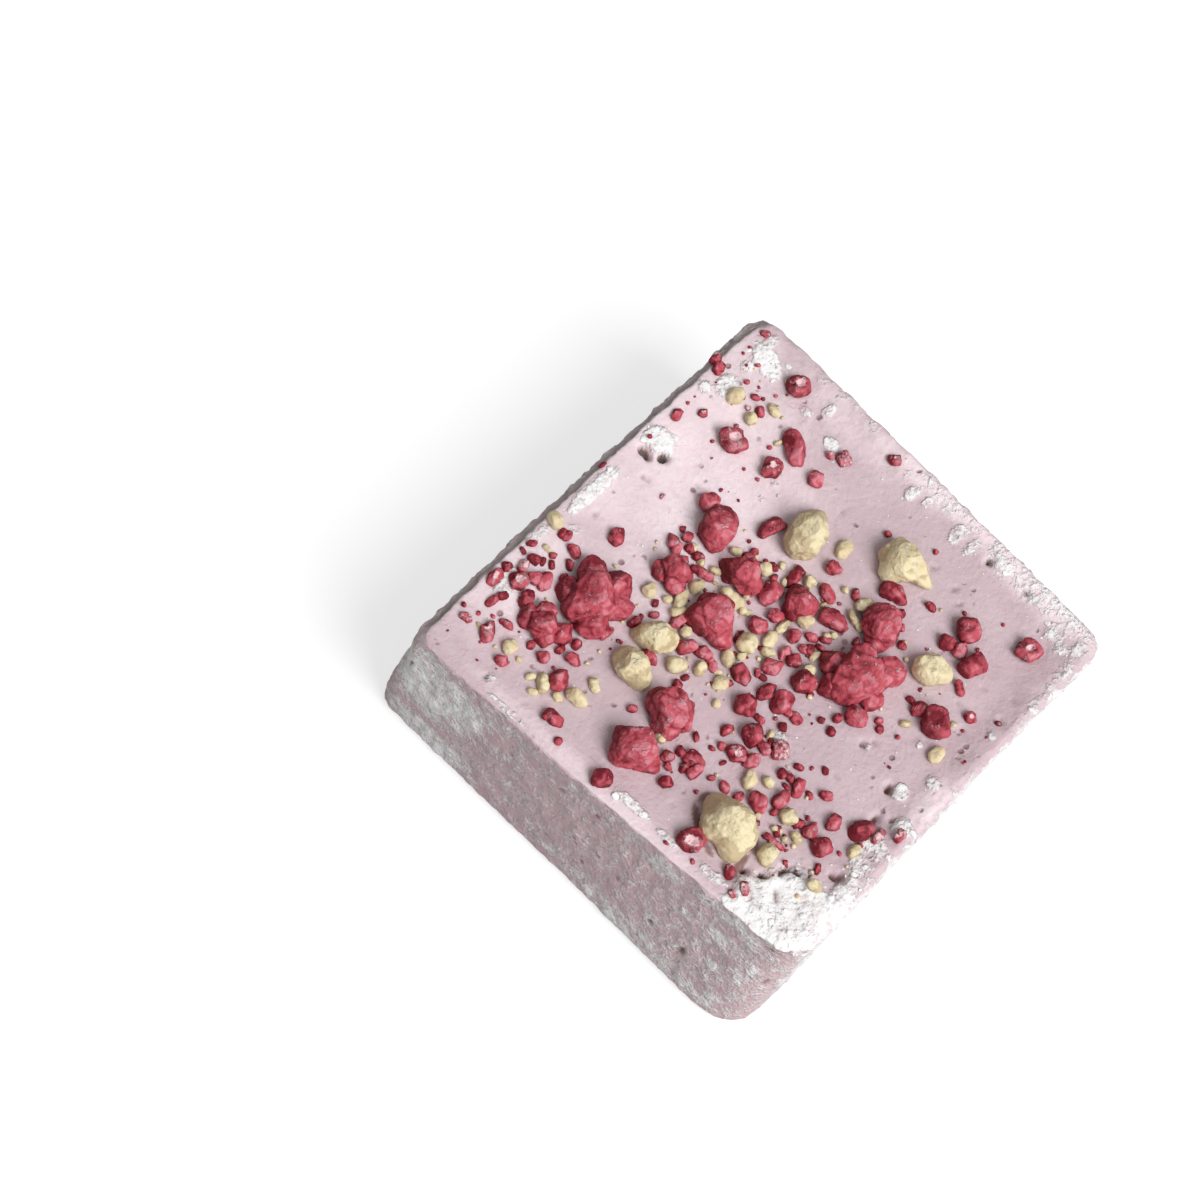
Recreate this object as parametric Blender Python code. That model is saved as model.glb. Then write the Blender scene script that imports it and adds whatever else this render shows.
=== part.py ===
# A hand-cut square marshmallow with a dished top and coarse topping chunks on it.
# Units: metres, +Z up. The origin is the middle of the underside.
import math

import bmesh
import bpy
from mathutils import Vector, noise

MM = 0.001

# Slab
SLAB_HEIGHT = 16.2 * MM
TOP_ROUND = 0.7 * MM
FOOT_ROUND = 1.0 * MM
RIM_WIDTH = 3.4 * MM
DISH_DEPTH = 0.4 * MM
DISH_SAG = 0.75 * MM
# how far in from the side each loop of the top face lies
TOP_LOOP_INSETS = (1.7 * MM, 2.6 * MM, RIM_WIDTH, 6.0 * MM, 9.0 * MM, 12.0 * MM, 16.0 * MM)
SIDE_WAVE = 0.16 * MM
SIDE_WAVE_LENGTH = 7.0 * MM

# Corners in mm, in the order front left, front right, back right, back left.
# The knife leaned over, so the foot is a little off the top.
TOP_CORNERS = ((-19.5, -22.6), (19.4, -20.9), (20.8, 20.2), (-20.1, 22.4))
FOOT_CORNERS = ((-20.8, -22.2), (19.8, -22.6), (20.8, 20.8), (-20.5, 22.6))
TOP_CORNER_RADII = (1.6, 3.4, 2.2, 2.4)
FOOT_CORNER_RADII = (1.8, 4.5, 2.4, 2.4)
# Outward swell of each side in mm: front, right, back, left.
SIDE_SWELL = (0.15, -0.25, 0.1, 0.2)
CORNER_STEPS = 6
SIDE_STEPS = 13

# Chunks
REST_GAP = 0.3 * MM
UNDER_PART = 0.32
CHUNK_DETAIL = 3
LOBE_SMOOTHING = 2
LUMP_DEPTH = 0.09
LUMP_LENGTH = 1.1 * MM

# Each lobe is (x, y, radius) in mm from the middle of the slab.
RED_CHUNKS = {
    "red_chunk_west": {
        "height": 3.2,
        "lobes": ((-11.7, -9.6, 1.9), (-12.9, -8.3, 1.35), (-11.1, -8.1, 1.6), (-10.1, -9.1, 1.3),
                  (-13.3, -10.5, 1.2), (-12.0, -11.0, 1.6), (-10.5, -11.3, 1.4)),
    },
    "red_chunk_southwest": {
        "height": 2.3,
        "lobes": ((-12.9, -14.5, 1.2), (-13.5, -13.9, 0.9), (-14.1, -14.8, 1.0), (-11.7, -13.9, 1.0)),
    },
    "red_chunk_northwest": {
        "height": 2.4,
        "lobes": ((-9.0, 2.8, 1.5), (-9.1, 3.6, 1.35), (-8.9, 2.1, 1.35)),
    },
    "red_chunk_inner_west": {
        "height": 2.4,
        "lobes": ((-8.9, -2.9, 1.3), (-9.5, -3.2, 1.1), (-8.2, -3.4, 1.0), (-9.2, -1.8, 0.85)),
    },
    "red_chunk_inner_north": {
        "height": 2.2,
        "lobes": ((-4.9, 1.3, 1.3), (-5.8, 1.0, 1.1), (-4.2, 1.2, 1.1), (-4.9, 2.0, 0.9)),
    },
    "red_chunk_centre": {
        "height": 2.9,
        "lobes": ((-3.8, -3.5, 1.6), (-4.4, -2.9, 1.4), (-2.8, -3.8, 1.4), (-4.4, -4.3, 1.3)),
    },
    "red_chunk_middle": {
        "height": 2.2,
        "lobes": ((0.1, 3.0, 1.2), (0.0, 2.3, 0.9), (0.5, 3.3, 1.0), (-0.4, 3.4, 1.0)),
    },
    "red_chunk_northeast": {
        "height": 2.6,
        "lobes": ((6.1, 6.3, 1.6), (5.8, 6.8, 1.4), (6.6, 5.5, 1.0), (6.9, 6.3, 1.0)),
    },
    "red_chunk_east": {
        "height": 3.2,
        "lobes": ((7.7, 1.5, 1.9), (7.2, 2.7, 1.4), (9.0, 3.9, 1.35), (5.5, 0.9, 1.15), (7.4, 0.0, 1.7),
                  (9.8, 0.8, 1.0), (9.6, -1.2, 0.95), (6.5, -0.9, 1.0), (8.6, 2.3, 1.5)),
    },
    "red_chunk_south": {
        "height": 2.7,
        "lobes": ((-1.1, -12.6, 1.6), (-1.9, -12.4, 1.25), (-0.2, -12.0, 1.15), (-0.7, -13.5, 1.1)),
    },
    "red_chunk_far_south": {
        "height": 2.7,
        "lobes": ((-0.9, -17.0, 1.6), (-1.7, -16.6, 1.3), (-1.2, -17.7, 1.2), (0.2, -17.1, 1.15)),
    },
}
CREAM_NUGGETS = {
    "cream_nugget_north": {
        "height": 2.1,
        "lobes": ((-3.5, 8.1, 1.6), (-3.9, 9.7, 1.15), (-3.3, 7.1, 1.5)),
    },
    "cream_nugget_northeast": {
        "height": 2.3,
        "lobes": ((3.9, 12.1, 1.6), (2.7, 12.6, 1.35), (3.6, 11.0, 1.0), (5.3, 12.8, 1.0), (6.4, 12.7, 0.75)),
    },
    "cream_nugget_east": {
        "height": 2.0,
        "lobes": ((11.3, 6.5, 1.35), (12.3, 7.0, 0.9)),
    },
    "cream_nugget_west": {
        "height": 1.9,
        "lobes": ((-5.9, -8.4, 1.2), (-6.6, -8.8, 1.0), (-5.4, -8.0, 1.0), (-7.5, -9.4, 0.5)),
    },
    "cream_nugget_southwest": {
        "height": 1.9,
        "lobes": ((-5.7, -12.0, 1.3), (-6.3, -11.8, 1.15), (-4.7, -12.0, 0.9)),
    },
    "cream_nugget_southeast": {
        "height": 2.5,
        "lobes": ((8.3, -16.4, 1.7), (6.9, -15.9, 1.2), (7.7, -17.1, 1.3), (9.6, -17.7, 1.0), (9.4, -16.3, 1.2)),
    },
}


def clear_scene():
    for item in list(bpy.data.objects):
        bpy.data.objects.remove(item, do_unlink=True)


def make_material(name, colour, roughness):
    material = bpy.data.materials.new(name)
    material.use_nodes = True
    shader = material.node_tree.nodes["Principled BSDF"]
    shader.inputs["Base Color"].default_value = (*colour, 1.0)
    shader.inputs["Roughness"].default_value = roughness
    shader.inputs["Metallic"].default_value = 0.0
    return material


def add_object(name, mesh, material):
    for face in mesh.faces:
        face.smooth = True
    data = bpy.data.meshes.new(name)
    mesh.to_mesh(data)
    mesh.free()
    item = bpy.data.objects.new(name, data)
    data.materials.append(material)
    bpy.context.scene.collection.objects.link(item)
    return item


def smooth_step(value):
    value = min(max(value, 0.0), 1.0)
    return value * value * (3.0 - 2.0 * value)


def mix(start, end, share):
    return start + (end - start) * share


def corner_curve(corner, before, after, radius, steps):
    """Points of a round corner, as a quadratic curve between its two tangent points."""
    start = corner + (before - corner).normalized() * radius
    end = corner + (after - corner).normalized() * radius
    points = []
    for step in range(steps + 1):
        share = step / steps
        points.append(start.lerp(corner, share).lerp(corner.lerp(end, share), share))
    return points


def outline(corners, radii):
    """One closed loop around the slab, always with the same number of points."""
    points = []
    corners = [Vector(corner) * MM for corner in corners]
    count = len(corners)
    curves = []
    for index, corner in enumerate(corners):
        before = corners[index - 1]
        after = corners[(index + 1) % count]
        curves.append(corner_curve(corner, before, after, radii[index] * MM, CORNER_STEPS))
    for index, curve in enumerate(curves):
        points.extend(curve)
        start = curve[-1]
        end = curves[(index + 1) % count][0]
        along = (end - start).normalized()
        outward = Vector((along.y, -along.x))
        for step in range(1, SIDE_STEPS + 1):
            share = step / (SIDE_STEPS + 1)
            swell = SIDE_SWELL[index] * MM * 4.0 * share * (1.0 - share)
            points.append(start.lerp(end, share) + outward * swell)
    return points


def half_width():
    return abs(TOP_CORNERS[0][0]) * MM


def dish_height(edge_distance):
    """Height of the top face at a distance in from the slab's side."""
    fall = smooth_step((edge_distance - TOP_ROUND) / (RIM_WIDTH - TOP_ROUND))
    sag = smooth_step(edge_distance / half_width())
    return SLAB_HEIGHT - DISH_DEPTH * fall - DISH_SAG * sag


def slab_levels():
    """(height, inset) of each loop, from the underside up the side and in across the top."""
    levels = []
    for degrees in (0, 30, 60, 90):
        angle = math.radians(degrees)
        levels.append((FOOT_ROUND * (1.0 - math.cos(angle)), FOOT_ROUND * (1.0 - math.sin(angle))))
    for share in (0.25, 0.5, 0.75):
        levels.append((mix(FOOT_ROUND, SLAB_HEIGHT - TOP_ROUND, share), 0.0))
    for degrees in (0, 30, 60, 90):
        angle = math.radians(degrees)
        height = SLAB_HEIGHT - TOP_ROUND * (1.0 - math.sin(angle))
        levels.append((height, TOP_ROUND * (1.0 - math.cos(angle))))
    for inset in TOP_LOOP_INSETS:
        levels.append((dish_height(inset), inset))
    return levels


def wave(point, height):
    """Uneven side wall: in and out by SIDE_WAVE, fading to nothing at the underside."""
    seed_point = Vector((point.x, point.y, height)) / SIDE_WAVE_LENGTH
    fade = smooth_step(height / (2.0 * FOOT_ROUND))
    return noise.noise(seed_point) * SIDE_WAVE * fade


def build_slab():
    top = outline(TOP_CORNERS, TOP_CORNER_RADII)
    foot = outline(FOOT_CORNERS, FOOT_CORNER_RADII)
    mesh = bmesh.new()
    loops = []
    for height, inset in slab_levels():
        loop = []
        for low, high in zip(foot, top):
            point = low.lerp(high, smooth_step(height / SLAB_HEIGHT))
            shrink = 1.0 - (inset - wave(point, height)) / half_width()
            loop.append(mesh.verts.new((point.x * shrink, point.y * shrink, height)))
        loops.append(loop)
    count = len(loops[0])
    for lower, upper in zip(loops, loops[1:]):
        for index in range(count):
            following = (index + 1) % count
            mesh.faces.new((lower[index], lower[following], upper[following], upper[index]))
    mesh.faces.new(list(reversed(loops[0])))
    middle = mesh.verts.new((0.0, 0.0, dish_height(half_width())))
    for index in range(count):
        mesh.faces.new((loops[-1][index], loops[-1][(index + 1) % count], middle))
    bmesh.ops.recalc_face_normals(mesh, faces=mesh.faces)
    return mesh


def lobe_reach(direction, lobes, centre):
    """How far a ray from the centre runs before it leaves the last round lobe."""
    reach = 0.0
    for x, y, radius in lobes:
        offset = Vector((x, y, 0.0)) * MM - centre
        along = direction.dot(offset)
        inside = (radius * MM) ** 2 - offset.length_squared + along * along
        if inside > 0.0:
            reach = max(reach, along + math.sqrt(inside))
    return reach


def build_chunk(lobes, height):
    """A lumpy body around its first lobe, squashed to its height, with a flat underside."""
    centre = Vector((lobes[0][0], lobes[0][1], 0.0)) * MM
    mesh = bmesh.new()
    bmesh.ops.create_icosphere(mesh, subdivisions=CHUNK_DETAIL, radius=1.0)
    directions = {vertex: vertex.co.normalized() for vertex in mesh.verts}
    reach = {vertex: lobe_reach(directions[vertex], lobes, centre) for vertex in mesh.verts}
    for _ in range(LOBE_SMOOTHING):
        smoothed = {}
        for vertex in mesh.verts:
            around = [reach[edge.other_vert(vertex)] for edge in vertex.link_edges]
            smoothed[vertex] = 0.5 * reach[vertex] + 0.5 * sum(around) / len(around)
        reach = smoothed
    for vertex in mesh.verts:
        place = (centre + directions[vertex] * reach[vertex]) / LUMP_LENGTH
        lump = 1.0 + LUMP_DEPTH * noise.noise(place)
        vertex.co = directions[vertex] * reach[vertex] * lump
    top = max(vertex.co.z for vertex in mesh.verts)
    squash = height * MM * (1.0 - UNDER_PART) / top
    floor = -height * MM * UNDER_PART
    for vertex in mesh.verts:
        vertex.co.z = max(vertex.co.z * squash, floor)
    return mesh, centre, floor


def edge_distance(place):
    """Rough distance from a place on the top to the nearest side."""
    depth = abs(TOP_CORNERS[1][1]) * MM
    return min(half_width() - abs(place.x), depth - abs(place.y))


def add_chunks(chunks, material):
    for name, chunk in chunks.items():
        mesh, centre, floor = build_chunk(chunk["lobes"], chunk["height"])
        item = add_object(name, mesh, material)
        seat = dish_height(edge_distance(centre)) + REST_GAP
        item.location = (centre.x, centre.y, seat - floor)


clear_scene()
add_object("marshmallow", build_slab(), make_material("marshmallow_pink", (0.76, 0.55, 0.61), 0.75))
add_chunks(RED_CHUNKS, make_material("berry_red", (0.50, 0.05, 0.09), 0.8))
add_chunks(CREAM_NUGGETS, make_material("cream_biscuit", (0.74, 0.62, 0.38), 0.7))
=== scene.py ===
import math
import random

import bpy
import bmesh
import numpy as np
from mathutils import Matrix, Vector, noise


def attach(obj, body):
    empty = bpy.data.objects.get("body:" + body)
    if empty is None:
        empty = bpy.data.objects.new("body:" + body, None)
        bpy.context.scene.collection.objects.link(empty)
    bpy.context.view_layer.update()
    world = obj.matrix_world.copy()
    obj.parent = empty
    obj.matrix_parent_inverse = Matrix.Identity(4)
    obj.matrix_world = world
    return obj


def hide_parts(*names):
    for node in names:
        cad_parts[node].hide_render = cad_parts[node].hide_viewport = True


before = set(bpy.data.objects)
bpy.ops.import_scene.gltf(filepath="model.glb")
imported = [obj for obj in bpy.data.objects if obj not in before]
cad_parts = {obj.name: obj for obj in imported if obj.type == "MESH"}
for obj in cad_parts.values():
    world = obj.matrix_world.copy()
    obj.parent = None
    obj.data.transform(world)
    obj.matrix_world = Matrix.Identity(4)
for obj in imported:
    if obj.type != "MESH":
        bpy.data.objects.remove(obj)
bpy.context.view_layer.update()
mm = 0.001


def smoothStep(low, high, value):
    share = np.clip((value - low) / (high - low), 0.0, 1.0)
    return share * share * (3.0 - 2.0 * share)


def fractalNoise(points, size, octaves=3, shift=0.0):
    # points in mm, size is the width of the largest lumps in mm; result is about -1 to 1
    offset = Vector((shift, shift * 1.7, shift * 0.6))
    values = [noise.fractal(Vector(point) / size + offset, 0.9, 2.1, octaves) for point in points]
    return np.array(values)


def meshObject(name, points, faces, smooth=True, values=None):
    # points in mm; values holds one number per point for each named attribute
    mesh = bpy.data.meshes.new(name)
    mesh.from_pydata((np.asarray(points) * mm).tolist(), [], faces)
    mesh.update()
    if smooth:
        mesh.shade_smooth()
    for label, numbers in (values or {}).items():
        layer = mesh.attributes.new(label, "FLOAT", "POINT")
        layer.data.foreach_set("value", np.asarray(numbers, dtype=np.float32))
    item = bpy.data.objects.new(name, mesh)
    bpy.context.scene.collection.objects.link(item)
    return item


slab = {                     # lengths in mm
    "height": 16.2,
    "halfWidth": 20.0,
    "footRound": 1.0,
    "rimDrop": 0.4,
    "bowlSag": 0.85,
    # corners: front left, front right, back right, back left
    "topCorners": ((-19.5, -22.6), (19.4, -20.9), (20.8, 20.2), (-20.1, 22.4)),
    "footCorners": ((-20.8, -22.2), (19.8, -22.6), (20.8, 20.8), (-20.5, 22.6)),
    "topRadii": (1.6, 3.4, 2.2, 2.4),
    "footRadii": (1.8, 4.5, 2.4, 2.4),
    # sides: front, right, back, left
    "topSwell": (0.15, -0.25, 0.1, 0.2),
    "footSwell": (-0.1, -0.25, 0.1, 0.2),
    "edgeRounds": (0.18, 1.0, 0.85, 0.78),
    "edgeCuts": (0.0, 0.0, 0.15, 1.0),      # 0 is a round edge, 1 a straight cut
    "edgeNoise": (0.04, 0.22, 0.18, 0.2),   # how ragged each top edge is
    "rimStarts": (0.0, 0.9, 0.8, 0.0),
    "rimWidths": (5.0, 3.8, 4.2, 6.0),
    # how finely the mesh is laid
    "cornerSteps": 10,
    "sideSteps": 140,
    "wallLoops": 50,
    "topLoopGap": 0.3,
    "topReach": 19.0,
    "underInsets": (14.0, 8.0, 4.0, 2.0),
    "roundDegrees": 15,
}

# layers of unevenness: height and width of the lumps in mm, octaves, shift of the pattern;
# where the height depends on something else, it is 1 here
unevenness = {
    "waves": (0.06, 7.0, 2, 3.1),
    "ripples": (0.02, 2.0, 2, 8.7),
    "rimLumps": (0.13, 1.7, 3, 5.3),
    "crustEdge": (0.28, 0.9, 3, 1.4),
    "crustLumps": (0.13, 1.0, 3, 7.4),
    "crustGrains": (0.05, 0.4, 2, 1.9),
    "heapEdge": (0.22, 1.3, 3, 2.4),
    "heapStreaks": (1.0, 1.1, 3, 4.9),
    "heapGrains": (0.1, 0.7, 2, 6.2),
    "frontDust": (0.12, 3.0, 2, 7.7),
    "otherDust": (0.32, 7.0, 2, 4.4),
    "rightPaintedLight": (0.25, 3.0, 2, 5.2),
    "leftEdgeShade": (0.4, 1.6, 2, 15.3),
    "strayFlecks": (1.0, 1.1, 2, 12.6),
    "wallWaves": (0.1, 6.0, 2, 2.2),
    "wallStreaks": (0.1, 1.5, 3, 6.1),
    "wallGrains": (1.0, 0.75, 3, 9.4),
    "edgeNibbles": (1.0, 1.2, 3, 3.3),
}

# soft edges of the patches: full strength inside the first share of their reach, none past the second
crispPatch = (0.65, 1.15)
softPatch = (0.1, 1.5)
veilPatch = (0.1, 1.3)
wallPatch = (0.35, 1.4)
fleckPatch = (0.3, 1.1)
cutVeil = -0.6               # the veil's value on bare cut foam

topFinish = {                # lengths in mm; a band is where a change starts and where it ends
    "edgeFade": (0.3, 1.5),      # fine relief, inwards from the edges
    "rimLumps": (1.6, 4.2),      # lumps on the right and back rims, inwards
    "crustPowder": (0.42, 0.8),  # how thick sugar has to lie to form a crust
    "crustFull": (0.3, 1.0),
    "crustHeight": 0.12,
    "smearedCrust": 0.6,         # how much of the crust is lost where the heap is smeared
    "pitDepth": 1.3,             # times the depths in topPits
    # painted shade: how dark the knocked-in holes and the cracks are coloured
    "pitShade": 2.4,
    "crackShade": 1.9,
}
heapStyle = {
    "along": (0.68, -0.73),      # from its upper edge towards the front right corner
    "fan": (20.4, 23.5),         # mm along that line where it becomes smeared
    "edge": (0.78, 0.98),
    "height": 0.3,
    "streakLength": 4.5,         # times the width of a streak
    "streaks": 0.3,
    "smearedStreaks": 0.08,      # how much lower the streaks are there
    "smearedGrains": 0.7,
}
wallFinish = {
    "frontBand": (-18.5, -20.5),     # y over which the front wall's own patches take over
    "frontDust": 0.4,                # mean amounts of dust, 0 to 1
    "otherDust": 0.56,
    "otherRange": (0.3, 0.8),
    "rightPaintedLight": 0.92,
    "rightX": (18.0, 19.6),          # the right wall, and how its pale dust, which is painted light, grows upwards
    "rightZ": (-5.0, 10.0),
    "strayFlecks": (0.62, 0.85),
    "strayStain": 0.6,
    # painted shade: the grey band along the left rim, which faces away from the light
    "edgeShadeBand": (1.0, 1.7),          # mm inwards from the left edge
    "edgeShadeAmount": 0.8,
    "streakSquash": (1.0, 1.0, 0.55),
    "grainHeights": (0.05, 0.12),    # on bare foam, and what thick dust adds
    "fleckDepth": 0.25,
    "footFade": (0.0, 1.0),
    "rimCalm": 0.7,
    "nibbleBand": 1.6,
    "nibbleDrop": 0.6,
    "nibbleLimit": 0.35,
}


def uneven(layer, points):
    height, width, octaves, shift = unevenness[layer]
    return height * fractalNoise(points, width, octaves, shift)


# knocked-in holes on the top skin: x, y, width, depth
topPits = (
    (9, 18.5, 0.6, 0.3), (13, 18.6, 0.6, 0.35), (8.3, 14.4, 0.5, 0.25), (9.4, 13.5, 0.5, 0.2),
    (5.8, 14.6, 0.45, 0.2), (-2.9, 12.8, 0.5, 0.15), (-12.8, 5.1, 0.6, 0.15), (-14.2, 6.4, 0.4, 0.12),
    (-16.4, 2, 0.45, 0.25), (-15.9, 2.1, 0.4, 0.2), (-16.8, -3.7, 0.5, 0.2), (15.5, -3.9, 0.7, 0.35),
    (11.6, -2.3, 0.5, 0.25), (12.1, -1.5, 0.45, 0.2), (11.7, -6.2, 0.45, 0.15), (16.6, 4.6, 0.5, 0.15),
    (18.4, 7.6, 0.5, 0.2), (14.9, 6.4, 0.4, 0.15), (-13, -20.9, 0.5, 0.3), (-9.6, -20.4, 0.45, 0.12),
    (-18.7, -17.8, 0.5, 0.25), (4, -17.8, 0.4, 0.1), (15.6, 9, 0.4, 0.12), (18, 9.9, 0.5, 0.12),
    (-17.3, 3.6, 0.6, 0.3), (17.2, -12.7, 0.6, 0.4), (17.3, -5.9, 0.5, 0.35), (5.4, 18, 0.5, 0.2),
)

# sugar lying on the top: x, y, width, depth, turn, how thick it lies (0 to 1)
topPowder = (
    (15.8, -17.4, 7.2, 6.6, 30, 1), (13.3, -18.9, 4, 3.4, 0, 1), (18.2, -18.6, 4.4, 6.4, 0, 0.95),
    (15.2, -20.9, 8.4, 3, 2, 1), (18.4, -14, 2.6, 5, 0, 0.85), (17.6, -9.6, 2.6, 5, 0, 0.8),
    (18.2, -6, 2, 2.4, 0, 0.85), (16.3, -3.4, 1.6, 2, 20, 0.9), (17.6, -1, 1.4, 1.6, 30, 0.8),
    (14.9, 1, 0.8, 1, 0, 0.9), (18.6, 5.8, 1, 0.9, 0, 0.75), (12, -2.2, 0.7, 0.7, 0, 0.8),
    (-18.3, -2.4, 1.8, 7.6, 0, 0.85), (-17.6, 5.5, 3.4, 2.8, 0, 1), (-16.5, 18.5, 4.2, 2.8, -20, 1),
    (-17.2, 14, 2.4, 3, 0, 0.95), (-18.4, 12.2, 1.6, 1.4, 0, 0.85), (-17.3, 16.7, 1.5, 1.6, 0, 0.85),
    (-17.5, 20.4, 1.4, 1.8, 20, 0.85), (-11.1, 17.5, 1.7, 1, 0, 0.9), (-9.7, 19, 1.1, 2, -10, 0.85),
    (-7.6, 16.9, 1.8, 1.5, 0, 1), (0.2, 18.5, 1.3, 1.9, -10, 0.9), (1.7, 18.7, 0.9, 1.3, 0, 0.8),
    (5.4, 18.5, 1.6, 2.4, 0, 0.8), (6.9, 18.4, 1, 2, 0, 0.75), (9.9, 19, 2.8, 1.7, 0, 0.95),
    (11.6, 19.2, 0.9, 1.2, 0, 0.85), (14, 18.6, 2, 1, 0, 0.7), (16.9, 17.4, 2.4, 2.4, 0, 0.75),
    (17.2, 19.5, 3.6, 1.6, 0, 0.85), (18, 16.6, 1.6, 1.6, 0, 0.75), (19.1, 17.6, 1.1, 2, 0, 0.8),
    (1.8, -20.3, 4.2, 1.1, 0, 0.9), (5.6, -20.4, 2.6, 1, 0, 0.75), (10, -20, 3, 1.2, 0, 0.75),
    (-10, -21.8, 5, 0.8, 0, 0.7), (-12.7, -20.7, 0.9, 1.2, 0, 0.85), (-17.4, -13.6, 2.6, 3.4, 0, 0.75),
    (-18.6, -9, 1.2, 4, 0, 0.7), (-8.6, 10.3, 1, 0.8, 0, 0.6), (-8.4, 8.4, 1, 0.7, 0, 0.6),
    (8.2, -14.3, 1.4, 0.9, 0, 0.9), (6.5, -6.8, 2, 0.8, 20, 0.8), (-17, -6, 1.6, 1.2, 30, 0.6),
    (13, -20.8, 3.6, 1.2, 0, 0.9),
)
heapPatches = topPowder[:3]

# finer dusting along the rims, fading out softly
rimPowder = (
    (14, 19.5, 17, 4, 0, 0.74), (3, 20.2, 13, 2.6, 2, 0.6), (-9, 21, 12, 2, 0, 0.5),
    (19.9, 13, 2.4, 16, 0, 0.66), (19.9, -3, 1.8, 24, -2, 0.66), (19.2, -16, 3, 12, 0, 0.95),
)

# pale veil over the skin, partly a thin dust and partly painted light where the skin looks lit: x, y, width,
# depth, turn, amount
topVeil = (
    (-13, 6, 26, 40, 20, 0.75), (-16, -12, 14, 18, 0, 0.7), (5, 20.6, 30, 4, 2, 0.95),
    (-8, 19.5, 20, 6, 0, 0.5), (18.6, -3, 2.6, 9, 0, 0.8), (13, 19.6, 20, 4.6, 0, 0.95),
    (0, -21.3, 42, 3, 0, 0.6), (16.5, -18, 10, 9, 0, 1),
)

# narrow cracks and edges where flakes of sugar stand off: x, y, length, width, turn, depth
topCracks = (
    (14.4, -15, 1.4, 0.55, 5, 0.8), (13.7, -15.7, 1.1, 0.55, 70, 0.8), (12.8, -17.1, 1, 0.6, 50, 0.8),
    (11.5, -17.8, 0.8, 0.55, 75, 0.7), (16.8, -13, 1, 0.55, -10, 0.7), (16.2, -6.9, 1.6, 0.6, 88, 0.6),
    (15.4, -3.7, 1, 0.6, 80, 0.6), (11.5, -2.3, 0.6, 0.4, 80, 0.4), (15.4, -14.4, 0.8, 0.5, 20, 0.6),
    (-17.9, 3.8, 1.4, 0.9, 10, 0.9), (-16.5, 4.7, 1.2, 0.9, 60, 0.9), (8.9, 18.6, 0.9, 0.5, 85, 0.5),
    (14.6, -17.6, 1.6, 0.4, -47, 0.4), (16.6, -18.2, 2.2, 0.4, -47, 0.3),
    (-18.2, -14.3, 1.4, 0.5, 95, 0.4),
)

# berry or caramel stains: x, y, length, width, turn, strength
topStains = (
    (11, -18, 3.6, 0.8, 94, 0.8), (10.8, -15.5, 1.8, 0.7, 113, 0.7), (6.1, -17.2, 3, 0.8, -43, 0.8),
    (8.2, -18.5, 2.2, 0.7, -21, 0.7), (5.4, -15.4, 1.4, 0.8, 75, 0.7),
    (10.2, -15.4, 1.4, 0.5, -35, 0.5), (-14.2, 2, 1.2, 0.8, 80, 0.25), (-13.5, 3, 1, 0.7, 0, 0.2),
    (-15, 0.7, 0.9, 0.8, 0, 0.2), (-13, 1.6, 0.6, 0.5, 0, 0.25), (-15.7, -18, 2, 1.5, 110, 0.3),
    (19.6, 17.8, 0.9, 0.7, 0, 0.3),
)

# sugar on the front wall: x, z, width, height, how thick it lies
frontPowder = (
    (-16.5, 10.5, 12, 13, 0.95), (-15, 2.2, 14, 5.4, 0.9), (-12, 11.5, 3.4, 6, 0.9),
    (-8, 14.8, 8, 2.2, 0.5), (9, 1.8, 24, 5.2, 0.74), (14, 8.8, 16, 18, 0.5),
    (6.8, 13.8, 4.6, 4.6, 0.72), (8.6, 6.3, 2, 3.4, 0.72), (-3.5, 5.5, 1.4, 1.8, 0.5),
    (-1.2, 2.4, 2.2, 3.6, 0.66), (13.5, 11.4, 2, 2.4, 0.9), (17.2, 10.6, 1.4, 2.4, 0.9),
    (-16.2, 5.8, 1.8, 2.4, 0.9), (-17, 14.6, 5, 2.4, 0.8), (1.5, 14.9, 6, 1, 0.5), (13, 15, 13, 3, 0.7),
    (6.8, 15, 3, 2.4, 0.7), (-13, 8.6, 1.2, 4, 0.9), (10.6, 10.8, 1.6, 1.6, 0.85),
    (14.6, 7.6, 1.6, 2, 0.85), (16.4, 3.6, 1.6, 1.8, 0.85), (2.2, 3.2, 1.4, 1.4, 0.85),
)

# dark flecks in the front wall: x, z, width, height, strength
frontFlecks = (
    (12.1, 5.8, 0.9, 1.7, 0.9), (8.7, 5.7, 0.9, 0.9, 0.8), (12.4, 4.1, 0.6, 0.8, 0.6),
    (17.2, 15, 0.5, 0.8, 0.8), (11.1, 14.9, 0.7, 0.6, 0.7), (0.4, 13.2, 0.7, 0.7, 0.75),
    (-3, 12.6, 0.5, 0.9, 0.75), (-4.5, 13, 0.4, 0.7, 0.6), (-18.7, 11.3, 0.5, 1.5, 0.8),
    (9.2, 9.4, 0.5, 0.6, 0.6), (9, 8.3, 0.4, 0.7, 0.5), (18.7, 9.4, 0.5, 1.6, 0.7),
    (0.8, 9.4, 0.4, 0.7, 0.5), (-5.5, 9, 0.5, 0.6, 0.45), (2.5, 13.1, 0.5, 0.7, 0.4),
    (-2, 4.3, 1.8, 0.8, 0.4), (5.2, 7.7, 0.4, 0.6, 0.4), (-11.2, 8.6, 1, 0.8, 0.35),
    (10.6, 5, 0.6, 1.1, 0.5), (12.8, 1.9, 0.5, 1.2, 0.45), (1, 4.4, 0.5, 0.6, 0.5),
)


def cornerCurve(corner, before, after, radius, steps):
    start = corner + (before - corner).normalized() * radius
    end = corner + (after - corner).normalized() * radius
    curve = []
    for step in range(steps + 1):
        share = step / steps
        curve.append(start.lerp(corner, share).lerp(corner.lerp(end, share), share))
    return curve


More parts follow.
